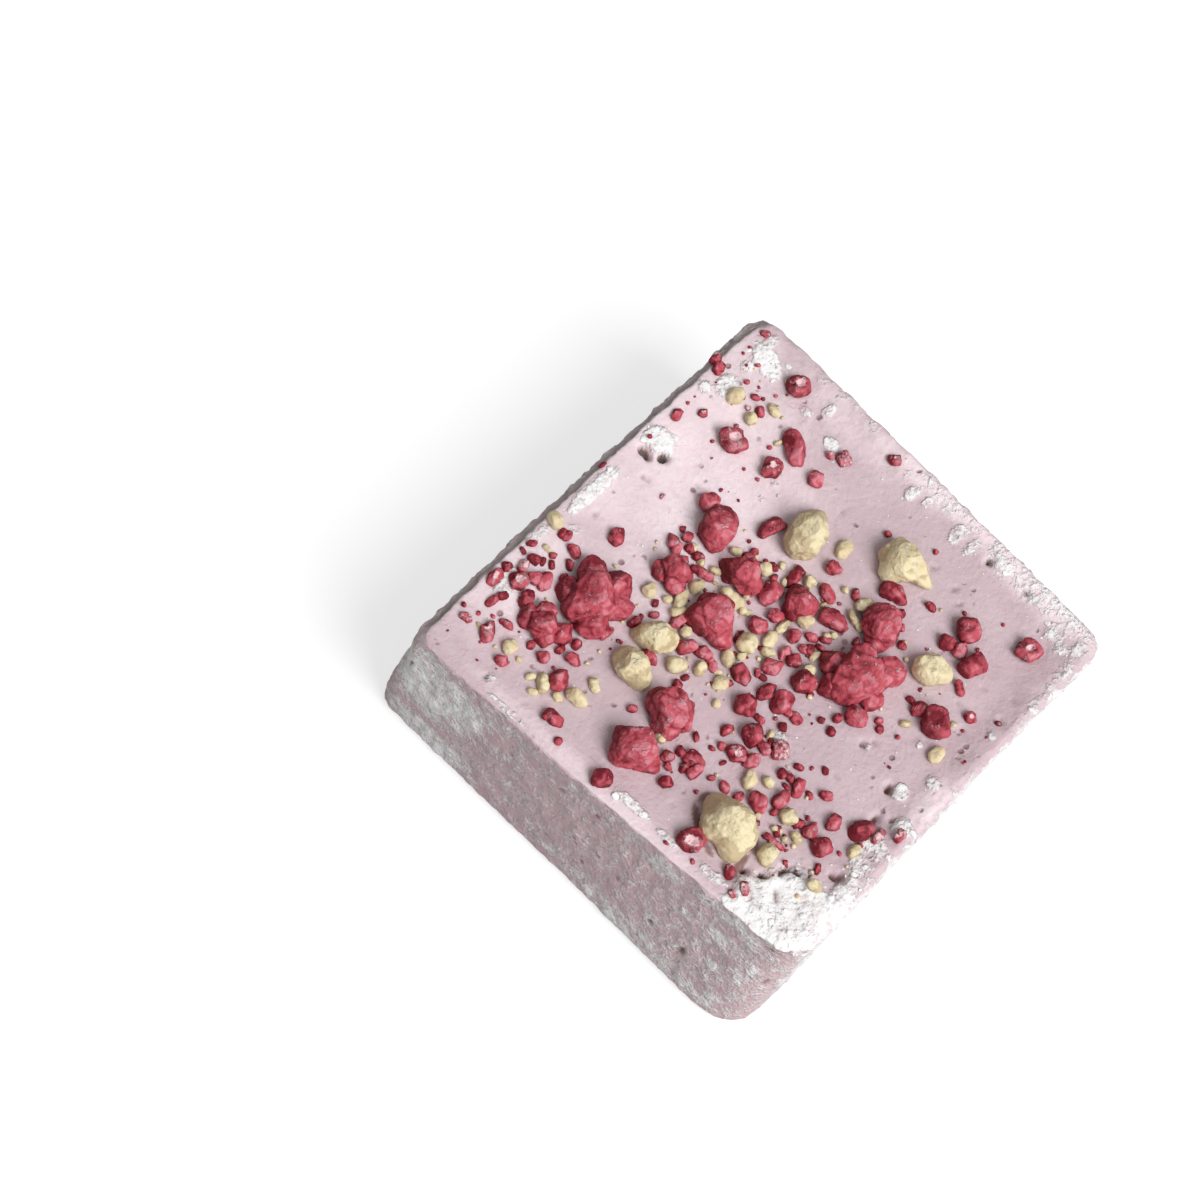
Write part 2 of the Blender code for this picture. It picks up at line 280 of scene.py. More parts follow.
def slabOutline(corners, radii, swells):
    corners = [Vector(corner) for corner in corners]
    curves = []
    for index, corner in enumerate(corners):
        after = corners[(index + 1) % 4]
        curves.append(cornerCurve(corner, corners[index - 1], after, radii[index], slab["cornerSteps"]))
    points = []
    for index, curve in enumerate(curves):
        points.extend(curve)
        start, end = curve[-1], curves[(index + 1) % 4][0]
        along = (end - start).normalized()
        outward = Vector((along.y, -along.x))
        for step in range(1, slab["sideSteps"] + 1):
            share = step / (slab["sideSteps"] + 1)
            swell = swells[index] * 4.0 * share * (1.0 - share)
            points.append(start.lerp(end, share) + outward * swell)
    return np.array([tuple(point) for point in points])


def sideBlend(values):
    # one value for each side, carried round the corners
    steps = slab["cornerSteps"]
    along = []
    for index in range(4):
        for step in range(steps + 1):
            along.append(values[index - 1] + (values[index] - values[index - 1]) * step / steps)
        along.extend([values[index]] * slab["sideSteps"])
    return np.array(along, dtype=float)


def sideDistances(x, y):
    # distance in from each side of the top: front, right, back, left
    distances = []
    corners = slab["topCorners"]
    for index in range(4):
        start, end = Vector(corners[index]), Vector(corners[(index + 1) % 4])
        along = (end - start).normalized()
        distances.append((y - start.y) * along.x - (x - start.x) * along.y)
    return distances


def patchReach(x, y, patch):
    # 0 in the middle of a turned ellipse, 1 on its outline
    patchX, patchY, width, depth, turn = patch[:5]
    angle = math.radians(turn)
    along = (x - patchX) * math.cos(angle) + (y - patchY) * math.sin(angle)
    across = (y - patchY) * math.cos(angle) - (x - patchX) * math.sin(angle)
    return np.sqrt((along * 2.0 / width) ** 2 + (across * 2.0 / depth) ** 2)


def patchAmount(x, y, patches, edge=crispPatch):
    # soft-edged ellipses, the thickest one wins
    total = np.zeros_like(x)
    for patch in patches:
        total = np.maximum(total, patch[5] * (1.0 - smoothStep(*edge, patchReach(x, y, patch))))
    return total


def powderAmount(x, y):
    return np.maximum(patchAmount(x, y, topPowder), patchAmount(x, y, rimPowder, softPatch))


def pitDepths(x, y):
    # one row for each knocked-in hole, deepest in its middle
    rows = []
    for pitX, pitY, width, depth in topPits:
        rows.append(depth * np.exp(-(np.hypot(x - pitX, y - pitY) / (width * 0.6)) ** 2))
    return np.array(rows)


def dishedHeight(x, y):
    # the top face before its fine relief: rims at the right and back, then a shallow bowl
    x, y = np.asarray(x, dtype=float), np.asarray(y, dtype=float)
    distances = [np.maximum(distance, 0.0) for distance in sideDistances(x, y)]
    fall = np.ones_like(x)
    for distance, start, width in zip(distances, slab["rimStarts"], slab["rimWidths"]):
        fall = fall * smoothStep(start, width, distance)
    front, right, back, left = distances
    bowl = 16.0 * front * back / (front + back) ** 2 * left * right / (left + right) ** 2
    return slab["height"] - slab["rimDrop"] * fall - slab["bowlSag"] * bowl


def heapFan(x, y):
    # 0 where the heap of sugar begins, 1 where it is smeared smooth towards the corner
    return smoothStep(*heapStyle["fan"], heapStyle["along"][0] * x + heapStyle["along"][1] * y)


def heapRelief(x, y, points, smeared):
    # a raised heap, drawn out in streaks towards the corner and crumbly at its upper edge
    reach = np.minimum.reduce([patchReach(x, y, patch) for patch in heapPatches])
    heap = 1.0 - smoothStep(*heapStyle["edge"], reach + uneven("heapEdge", points))
    alongX, alongY = heapStyle["along"]
    along, across = alongX * x + alongY * y, alongX * y - alongY * x
    streaks = np.stack([along / heapStyle["streakLength"], across, np.zeros_like(x)], axis=1)
    drawn = (heapStyle["streaks"] - heapStyle["smearedStreaks"] * smeared) * uneven("heapStreaks", streaks)
    grainy = (1.0 - heapStyle["smearedGrains"] * smeared) * uneven("heapGrains", points)
    return heap * (heapStyle["height"] + drawn + grainy)


def topRelief(x, y):
    x, y = np.atleast_1d(x).astype(float), np.atleast_1d(y).astype(float)
    points = np.stack([x, y, np.zeros_like(x)], axis=1)
    _, right, back, _ = sideDistances(x, y)
    onRim = 1.0 - smoothStep(*topFinish["rimLumps"], np.minimum(right, back))
    relief = uneven("waves", points) + uneven("ripples", points) + onRim * uneven("rimLumps", points)
    powder = powderAmount(x, y)
    smeared = heapFan(x, y)
    crust = smoothStep(*topFinish["crustPowder"], powder + uneven("crustEdge", points))
    crust = crust * smoothStep(*topFinish["crustFull"], powder)
    lumps = topFinish["crustHeight"] + uneven("crustLumps", points) + uneven("crustGrains", points)
    kept = 1.0 - topFinish["smearedCrust"] * smeared
    relief += crust * lumps * kept + heapRelief(x, y, points, smeared)
    for crack in topCracks:
        relief -= crack[5] * np.exp(-patchReach(x, y, crack) ** 4)
    return relief - topFinish["pitDepth"] * pitDepths(x, y).sum(axis=0)


def reliefFade(x, y):
    # the fine relief dies away towards the edges of the top
    return smoothStep(*topFinish["edgeFade"], np.minimum.reduce(sideDistances(x, y)))


def surfaceHeight(x, y):
    return float(dishedHeight(x, y)) + float(topRelief(x, y)[0] * reliefFade(x, y))


def slabRings(outlineCount):
    # level and inset of every ring, one number for each point of the outline
    height, footRound, degreeStep = slab["height"], slab["footRound"], slab["roundDegrees"]
    rounds, cuts = sideBlend(slab["edgeRounds"]), sideBlend(slab["edgeCuts"])
    flat = np.ones(outlineCount)
    rings = [(flat * 0.0, flat * inset, "under") for inset in slab["underInsets"]]
    for degrees in range(0, 91, degreeStep):
        angle = math.radians(degrees)
        level, inset = footRound * (1 - math.cos(angle)), footRound * (1 - math.sin(angle))
        rings.append((flat * level, flat * inset, "wall"))
    wallTop = height - rounds * (1.0 + 0.15 * cuts)
    for step in range(1, slab["wallLoops"]):
        rings.append((footRound + (wallTop - footRound) * step / slab["wallLoops"], flat * 0.0, "wall"))
    for degrees in range(0, 90, degreeStep):
        angle, share = math.radians(degrees), degrees / 90.0
        inset = rounds * ((1.0 - math.cos(angle)) * (1.0 - cuts) + share * cuts)
        drop = rounds * ((1.0 - math.sin(angle)) * (1.0 - cuts) + 1.15 * (1.0 - share) * cuts)
        rings.append((height - drop, inset, "wall"))
    reach, travelled = slab["topReach"], 0.0
    while travelled < reach - 1.2:
        rings.append((flat * height, rounds + (reach - rounds) * travelled / reach, "top"))
        travelled += slab["topLoopGap"] * (0.75 if travelled < 3.5 else 1.0)
    return rings


def slabPoints(rings, top, foot):
    points, kinds = [], []
    for level, inset, kind in rings:
        share = smoothStep(0.0, 1.0, level / slab["height"])[:, None]
        loop = (foot + (top - foot) * share) * (1.0 - inset / slab["halfWidth"])[:, None]
        points.append(np.column_stack([loop, level]))
        kinds += [kind] * len(top)
    return np.concatenate(points), np.array(kinds)


def slabFaces(ringCount, count):
    faces = []
    for ring in range(ringCount - 1):
        base, following = ring * count, (ring + 1) * count
        for index in range(count):
            nextIndex = (index + 1) % count
            faces.append((base + index, base + nextIndex, following + nextIndex, following + index))
    bottomMiddle = ringCount * count
    last = bottomMiddle - count
    for index in range(count):
        nextIndex = (index + 1) % count
        faces.append((nextIndex, index, bottomMiddle))
        faces.append((last + index, last + nextIndex, bottomMiddle + 1))
    return faces


def dressTop(points, onTop, masks):
    x, y = points[onTop, 0], points[onTop, 1]
    points[onTop, 2] = dishedHeight(x, y) + topRelief(x, y) * reliefFade(x, y)
    masks["powder"][onTop] = powderAmount(x, y)
    masks["veilAndPaintedLight"][onTop] = patchAmount(x, y, topVeil, veilPatch)
    # painted shade: cracks and knocked-in holes coloured dark, alongside the real berry and caramel stains
    cracks = topFinish["crackShade"] * patchAmount(x, y, topCracks, fleckPatch)
    holes = topFinish["pitShade"] * pitDepths(x, y).max(axis=0)
    masks["stainAndShade"][onTop] = np.maximum.reduce([patchAmount(x, y, topStains), cracks, holes])


def upright(rows):
    # patches of the front wall, which lie square to it
    return [(x, z, width, tall, 0, strength) for x, z, width, tall, strength in rows]


def dressWalls(points, onWall, rimShare, masks):
    # sugar, the pale veil that is partly painted light, flecks and, along the left rim, grey painted shade
    wall, style = points[onWall], wallFinish
    x, y, z = wall.T
    frontShare = smoothStep(*style["frontBand"], y)
    onFront = patchAmount(x, z, upright(frontPowder), wallPatch)
    onFront = np.maximum(onFront, style["frontDust"] + uneven("frontDust", wall))
    elsewhere = np.clip(style["otherDust"] + uneven("otherDust", wall), *style["otherRange"])
    # painted light: the right wall is whitened with dust towards its top, where it looks lit
    onRight = smoothStep(*style["rightX"], x) * smoothStep(*style["rightZ"], z)
    elsewhere = np.maximum(elsewhere, onRight * (style["rightPaintedLight"] + uneven("rightPaintedLight", wall)))
    amount = frontShare * onFront + (1.0 - frontShare) * elsewhere
    masks["powder"][onWall] = amount + (powderAmount(x, y) - amount) * rimShare
    masks["veilAndPaintedLight"][onWall] = patchAmount(x, y, topVeil, veilPatch) * rimShare + cutVeil * (1.0 - rimShare)
    fleck = patchAmount(x, z, upright(frontFlecks), fleckPatch) * frontShare
    stray = smoothStep(*style["strayFlecks"], uneven("strayFlecks", wall)) * (1.0 - frontShare)
    masks["stainAndShade"][onWall] = np.maximum(fleck, stray * style["strayStain"])
    # painted shade: the left rim turned dark grey where it faces away from the light
    byLeftRim = rimShare * (1.0 - smoothStep(*style["edgeShadeBand"], sideDistances(x, y)[3]))
    masks["paintedEdgeShade"][onWall] = byLeftRim * (style["edgeShadeAmount"] + uneven("leftEdgeShade", wall))


def tearWalls(points, onWall, rimShare, ragged, masks):
    # torn, streaky foam with burst bubbles, and top edges with nibbles out of them
    wall, style = points[onWall], wallFinish
    streaks = wall * np.array(style["streakSquash"])
    push = uneven("wallWaves", wall) + uneven("wallStreaks", streaks)
    bareGrain, dustGrain = style["grainHeights"]
    push += (bareGrain + dustGrain * masks["powder"][onWall]) * uneven("wallGrains", streaks)
    push -= style["fleckDepth"] * masks["stainAndShade"][onWall]
    fade = smoothStep(*style["footFade"], wall[:, 2]) * (1.0 - style["rimCalm"] * rimShare)
    outward = wall[:, :2] / np.linalg.norm(wall[:, :2], axis=1)[:, None]
    square = np.clip(np.sign(wall[:, :2]) * np.maximum(np.abs(outward) - 0.5, 0.0) * 4.0, -1.0, 1.0)
    wall[:, :2] += square * (push * fade)[:, None]
    edge = wall[:, 2] > slab["height"] - style["nibbleBand"]
    nibbles = uneven("edgeNibbles", wall[edge])
    wall[edge, 2] += style["nibbleDrop"] * ragged[edge] * nibbles
    wall[edge, :2] += square[edge] * (ragged[edge] * np.minimum(nibbles, style["nibbleLimit"]))[:, None]
    points[onWall] = wall


def buildSlab():
    top = slabOutline(slab["topCorners"], slab["topRadii"], slab["topSwell"])
    foot = slabOutline(slab["footCorners"], slab["footRadii"], slab["footSwell"])
    rings = slabRings(len(top))
    points, kinds = slabPoints(rings, top, foot)
    onWall, under = kinds == "wall", kinds == "under"
    masks = {name: np.zeros(len(points)) for name in ("powder", "veilAndPaintedLight", "stainAndShade", "paintedEdgeShade")}
    dressTop(points, kinds == "top", masks)
    rounds = np.tile(sideBlend(slab["edgeRounds"]), len(rings))[onWall]
    ragged = np.tile(sideBlend(slab["edgeNoise"]), len(rings))[onWall]
    rimTop = slab["height"] - 0.1 * rounds
    rimShare = smoothStep(rimTop - 1.1 * rounds, rimTop, points[onWall, 2])
    dressWalls(points, onWall, rimShare, masks)
    tearWalls(points, onWall, rimShare, ragged, masks)
    masks["powder"][under] = 0.5
    masks["veilAndPaintedLight"][under] = cutVeil
    # the middles of the underside and the top close the mesh
    points = np.vstack([points, [[0, 0, 0], [0, 0, surfaceHeight(0.0, 0.0)]]])
    values = {name: np.append(mask, [mask[0], 0.0]) for name, mask in masks.items()}
    return meshObject("marshmallowSlab", points, slabFaces(len(rings), len(top)), values=values)


print("stage: slab")
slabObject = buildSlab()
print("slab faces", len(slabObject.data.polygons))


toppingStyle = {
    "sink": 0.45,            # how deep an underside reaches into the slab, mm
    "pileShare": 0.45,       # how much of a neighbour's height lifts a piece on it
    # the side turned from the light, painted darker on the toppings
    "shadedSide": (-0.86, 0.4, -0.1),
    "chunkTones": {"red": (0.38, 0.6), "cream": (0.25, 0.4), "tan": (0.5, 0.65)},
    "pieceTones": {"plain": (0.42, 0.68), "dark": (0.2, 0.36), "pink": (0.75, 0.95), "dusty": (0.5, 0.8),
                   "torn": (0.4, 0.65), "cream": (0.15, 0.4), "tan": (0.65, 0.95)},
    "sugar": {"dusty": 0.5, "torn": 0.25, "cream": 0.12, "tan": 0.06},
    "plainSugar": 0.15,
    "upperSugarAndLight": 0.16,      # more on what faces up: partly sugar settling there, partly painted light on upper faces
    "seed": 21,
}

# what changes the tone from point to point; the negative ones darken. Painted light on faces turned up;
# painted shade in hollows, creases, close to the slab (there partly a berry juice stain) and on the side
# turned from the light, where creams also have a real browned crust
lumpTones = {"patches": 0.26, "paintedUpLight": 0.3, "hollow": -0.5, "crease": -0.25, "low": -0.4,
             "shadedSide": -0.26, "brownAndShadedSide": -0.55, "neutralUp": 0.45, "brownBand": (0.25, 0.75),
             "lowBand": (0.35, 1.1)}

# how each kind of piece is broken: flat faces, grain and nodules, all in mm
redBreak = {"facets": 9, "cut": (0.68, 0.92), "topCut": (0.6, 0.85), "grain": 0.07, "noduleSize": 1.2,
            "noduleDepth": 0.07, "fusing": 0}
redClusterBreak = {**redBreak, "cut": (0.66, 0.86), "topCut": (0.62, 0.8), "grain": 0.06}
redBlockBreak = {**redBreak, "facets": 8, "cut": (0.72, 0.9), "topCut": (0.62, 0.82), "grain": 0.06}
creamBreak = {"facets": 6, "cut": (0.76, 0.95), "topCut": (0.76, 0.92), "grain": 0.06, "noduleSize": 2.4,
              "noduleDepth": 0.04, "fusing": 2.5}
sugarBreak = {"facets": 6, "cut": (0.55, 0.85), "topCut": (0.55, 0.85), "grain": 0.04, "noduleSize": 0.5,
              "noduleDepth": 0.05, "fusing": 0}

# the large chunks, node by node; each lobe is x, y, radius in mm
redChunks = {
    "red_chunk_west": ((-11.7, -9.4, 1.9), (-13.1, -8, 1.4), (-11.2, -7.8, 1.65), (-10.1, -8.8, 1.35),
                       (-13.5, -10.4, 1.2), (-12.2, -10.9, 1.6), (-10.6, -11.2, 1.45)),
    "red_chunk_southwest": ((-12.9, -14.3, 1.2), (-13.5, -13.5, 0.95), (-14.1, -14.6, 1.05),
                            (-11.6, -13.6, 1.05), (-12.3, -14.9, 0.9)),
    "red_chunk_northwest": ((-9, 2.9, 1.5), (-9.2, 3.7, 1.4), (-8.9, 2.3, 1.4)),
    "red_chunk_inner_west": ((-8.9, -2.8, 1.3), (-9.6, -3.1, 1.05), (-8.2, -3.3, 1), (-9.2, -1.6, 0.9),
                             (-8.3, -2.4, 0.9)),
    "red_chunk_inner_north": ((-4.9, 1.4, 1.35), (-5.9, 1.1, 1.1), (-4.1, 1.3, 1.15), (-4.9, 2.1, 0.9)),
    "red_chunk_centre": ((-3.8, -3.3, 1.6), (-4.5, -2.7, 1.4), (-2.8, -3.6, 1.4), (-4.5, -4.1, 1.35)),
    "red_chunk_middle": ((0.1, 3.1, 1.25), (0, 2.4, 0.9), (0.5, 3.4, 1), (-0.4, 3.6, 1)),
    "red_chunk_northeast": ((6.1, 6.5, 1.65), (5.8, 7.1, 1.45), (6.6, 5.6, 1.1), (6.9, 6.5, 1)),
    "red_chunk_east": ((7.7, 1.7, 1.9), (7.1, 2.9, 1.4), (9.1, 4.2, 1.4), (5.4, 1.1, 1.2), (7.4, 0.2, 1.75),
                       (9.8, 1, 1), (9.7, -1, 1), (6.5, -0.7, 1), (8.6, 2.5, 1.5)),
    "red_chunk_south": ((-1.1, -12.4, 1.6), (-2, -12.2, 1.25), (-0.2, -11.7, 1.25), (-0.6, -13.3, 1.15)),
    "red_chunk_far_south": ((-0.9, -16.8, 1.6), (-1.7, -16.4, 1.35), (-1.2, -17.5, 1.25), (0.3, -16.9, 1.15)),
}
creamChunks = {
    "cream_nugget_north": ((-3.5, 8.3, 1.6), (-3.9, 10, 1.2), (-3.3, 7.4, 1.55)),
    "cream_nugget_northeast": ((3.9, 12.3, 1.6), (2.7, 12.8, 1.4), (3.6, 11.2, 1.05), (5.3, 13, 1.05),
                               (6.5, 12.9, 0.8)),
    "cream_nugget_east": ((11.3, 6.7, 1.4), (12.4, 7.3, 0.9)),
    "cream_nugget_west": ((-5.9, -8.2, 1.25), (-6.6, -8.6, 1.05), (-5.4, -7.8, 1.05), (-7.6, -9.2, 0.5)),
    "cream_nugget_southwest": ((-5.7, -11.7, 1.35), (-6.3, -11.5, 1.2), (-4.6, -11.8, 0.95)),
    "cream_nugget_southeast": ((8.3, -16.1, 1.75), (6.8, -15.5, 1.25), (7.6, -16.9, 1.35), (9.7, -17.5, 1.05),
                               (9.5, -16, 1.3)),
}
tanNuggets = ("cream_nugget_northeast", "cream_nugget_east")

# smaller pieces: x, y, length, width in mm, turn in degrees, look
redPieces = (
    (-13, 18.6, 2.3, 2.3, 0, "torn"), (-18.3, 20.4, 1.1, 0.9, 20, "dusty"),
    (-18.8, 14.5, 1.5, 1.1, 100, "plain"), (-18.3, 8.3, 1.3, 1, 110, "plain"),
    (-16.9, 10.3, 1.2, 1, 120, "torn"), (-16.4, 15.6, 0.7, 0.6, 0, "plain"),
    (-14.9, 15.1, 0.9, 0.8, 0, "plain"), (-14.4, 15.6, 0.6, 0.5, 0, "plain"),
    (-13.8, 14.4, 1.1, 1.1, 0, "plain"), (-14.7, 13.9, 0.6, 0.6, 0, "dusty"),
    (-9.3, 13.9, 3.4, 2, -30, "plain"), (-9.5, 11, 2.1, 1.9, 90, "torn"),
    (-13.5, 10.4, 2.8, 2.6, 30, "torn"), (-11, 12.5, 0.5, 0.5, 0, "plain"),
    (-6.3, 13.2, 1.8, 1.5, 90, "pink"), (-5.9, 16.4, 1.6, 1.4, 20, "dusty"),
    (-6.9, 15.9, 0.9, 0.9, 0, "dusty"), (1.2, 14, 0.8, 0.7, 0, "plain"),
    (5.1, 15.8, 0.7, 0.6, 30, "plain"), (4.9, 10, 2.8, 1.7, 10, "dark"),
    (0, 7.9, 1.5, 1.4, 90, "plain"), (7.4, 8.1, 1, 0.7, 80, "plain"), (-6, 6.9, 2.9, 1.6, 72, "dark"),
    (-2.8, 19.6, 1.4, 1.3, 90, "torn"), (7.9, 11.5, 1.2, 0.8, -15, "plain"),
    (11.6, 12, 2.7, 2.5, 60, "dark"), (11, 9.8, 1.6, 1.5, 0, "dark"), (12.1, 10.1, 1.3, 1.6, 0, "pink"),
    (13.7, 9.7, 2.7, 2.1, 70, "plain"), (14.1, 7.5, 1.7, 0.9, -42, "plain"),
    (16.2, 14.2, 2.5, 2, 10, "torn"), (-11.1, 4.5, 2.1, 1.8, 100, "plain"),
    (-14.2, -3.8, 1.9, 1.3, 105, "plain"), (-10.5, -0.6, 2.3, 1.3, -35, "plain"),
    (-7.3, -0.7, 2.3, 1.1, 15, "plain"), (-15.7, -7.5, 1.4, 1.1, -20, "plain"),
    (-7.6, -6.6, 1, 0.8, 60, "plain"), (-5.6, 3.2, 1.2, 0.9, 0, "plain"),
    (-2.9, 3.4, 1.1, 0.7, 110, "plain"), (-2.2, 2.2, 2.6, 1.8, 95, "plain"),
    (-0.7, 0.9, 1.7, 1.4, 40, "plain"), (-1.8, 4.9, 2.6, 1.2, 95, "dark"),
    (1.1, 5.8, 1.8, 1.3, -15, "plain"), (3, 4.2, 2.6, 1.8, 10, "plain"),
    (2.7, 1.8, 1.2, 0.9, 30, "plain"), (3.6, 2.5, 1.1, 0.8, 20, "plain"),
    (1.6, 0.7, 1.4, 1.4, 0, "plain"), (2.9, 0.5, 1.1, 0.9, 0, "plain"),
    (-1.1, -0.9, 1.8, 1.6, 60, "plain"), (2.9, -0.9, 1.5, 1.4, 60, "dark"), (2, -1, 1.4, 1, 80, "pink"),
    (2, -2.7, 1.9, 1.7, 90, "plain"), (4.7, -2, 2.2, 2, 20, "dark"), (-1.6, -2.7, 1.2, 0.6, 95, "dark"),
    (0.8, -5.2, 2.1, 1.6, 0, "plain"), (3.1, -4.7, 2, 1.3, 80, "dark"),
    (4.6, -4.5, 2.2, 1.7, 90, "plain"), (5.6, -4.9, 0.9, 0.8, 0, "plain"),
    (2.7, -7, 2.3, 2, 100, "dark"), (4.2, -7, 1.2, 0.7, 0, "plain"),
    (-5.9, -5.6, 1.6, 1.3, 90, "plain"), (-3.9, -6.8, 1.8, 1.5, 60, "plain"),
    (-2.7, -6, 1.6, 1.3, 10, "plain"), (-1.4, -6.3, 1.7, 0.9, -25, "pink"),
    (8.4, 6.9, 1.1, 0.9, 80, "plain"), (16.4, 5.9, 1.3, 1.2, 0, "torn"),
    (14.7, 3.2, 2.8, 2.7, 0, "dark"), (12.9, 3.3, 1.6, 1.3, 90, "plain"),
    (11.9, 3.6, 0.9, 0.7, 0, "plain"), (11.2, 0.2, 0.9, 0.8, 0, "plain"),
    (11.7, -0.4, 0.9, 0.8, 0, "plain"), (13.2, 0.2, 0.6, 0.5, 0, "plain"),
    (17.3, -7.8, 1.8, 0.8, 95, "dusty"), (18.5, -6.8, 1.5, 0.9, 100, "dusty"),
    (16, -8.5, 2.2, 1.6, 70, "dark"), (-17.5, -11.7, 1.5, 0.9, 100, "dusty"),
    (-16.9, -13.1, 1.9, 1.7, 70, "torn"), (-16.2, -11.8, 1.6, 1.3, 60, "plain"),
    (-15.5, -11.4, 1.7, 1.3, 100, "pink"), (-15.4, -13.6, 1.9, 1.2, 100, "dark"),
    (-18.4, -14.3, 1.7, 1.3, 100, "torn"), (-17.1, -15.8, 1.4, 0.8, 80, "plain"),
    (-15, -16.3, 1.4, 0.8, 10, "plain"), (-12.5, -16.2, 0.8, 0.8, 0, "plain"),
    (-11.2, -16.2, 1.3, 1.2, 0, "plain"), (-9, -16.7, 1.9, 1.5, 110, "plain"),
    (-9.4, -14.5, 1.5, 1.1, 15, "plain"), (-15.6, -17.9, 2, 1.4, 115, "torn"),
    (-17.5, -18.5, 1.2, 0.8, 20, "dusty"), (-13.1, -19, 1.3, 1.1, -10, "plain"),
    (-7, -19.6, 1.9, 1.2, -10, "dark"), (-7.6, -20, 0.8, 0.7, 0, "dark"),
    (-5.5, -20.8, 1, 0.8, 50, "plain"), (-9.1, -11, 1.6, 0.8, 85, "plain"),
    (-8, -10.5, 0.8, 0.4, 10, "plain"), (-8.2, -8.2, 1.5, 0.9, 70, "dark"),
    (-2.2, -9.9, 1.4, 1, 110, "plain"), (-5.3, -9.7, 1.8, 1, 0, "plain"),
    (-3.4, -14.1, 1.1, 0.9, 90, "plain"), (-1.1, -20.7, 1.9, 1.7, 90, "dark"),
    (1.2, -15.1, 1.3, 1.2, 0, "plain"), (1.8, -15.7, 0.8, 0.8, 0, "plain"),
    (2.9, -13.8, 1.9, 1.6, 0, "plain"), (3.5, -14.6, 1.6, 1.1, 80, "plain"),
    (4.8, -13.8, 0.8, 0.6, 60, "plain"), (6, -13.7, 1.1, 1, 0, "pink"),
    (4.7, -15.6, 0.6, 0.5, 0, "plain"), (3, -9.7, 1.3, 0.9, 80, "plain"),
    (4.9, -8.6, 2.2, 2, 90, "dark"), (6, -8.7, 1.4, 1.2, 0, "plain"), (7.1, -8, 2, 1.7, 60, "dusty"),
    (5, -10.8, 1.9, 1.7, 0, "torn"), (6.1, -10.4, 1.7, 1.4, 70, "pink"),
    (4.6, -12.1, 0.8, 0.4, 70, "dark"), (7, -19.4, 2.7, 2.2, 80, "torn"),
    (5.8, -20.8, 0.6, 0.4, 0, "plain"), (7.3, -13.5, 1.2, 0.8, 80, "plain"),
    (12.2, -8.1, 1.2, 1.1, 0, "plain"), (11.2, -9.1, 0.8, 0.7, 0, "plain"),
    (10.2, -9.3, 1.8, 1.1, 110, "plain"), (9.9, -11.2, 1.7, 1.3, 80, "plain"),
    (8.7, -12.7, 1.9, 1.6, -30, "plain"), (10.1, -12.3, 0.8, 0.6, 90, "plain"),
    (14, -9.5, 1.7, 1.3, 90, "plain"), (12.1, -11.6, 1.2, 1, 90, "dark"),
    (13.2, -11.6, 1.5, 1.3, 80, "plain"), (13, -10.9, 0.7, 0.5, 80, "plain"),
    (14.6, -12, 2, 1.6, 60, "plain"), (15.5, -13.4, 1.2, 0.6, 110, "dark"),
    (11.6, -14.3, 2.4, 0.8, 5, "plain"), (12.4, -19.1, 1.3, 0.9, -50, "dusty"),
    (12, -20.1, 0.9, 0.6, -20, "dusty"), (-19.5, 14.9, 1.3, 0.9, 80, "dark"),
    (-19.3, -0.1, 1, 0.5, 90, "dark"), (16.7, -9.5, 0.6, 0.4, 0, "plain"),
    (-14.2, 2, 0.7, 0.4, 100, "dusty"),
)
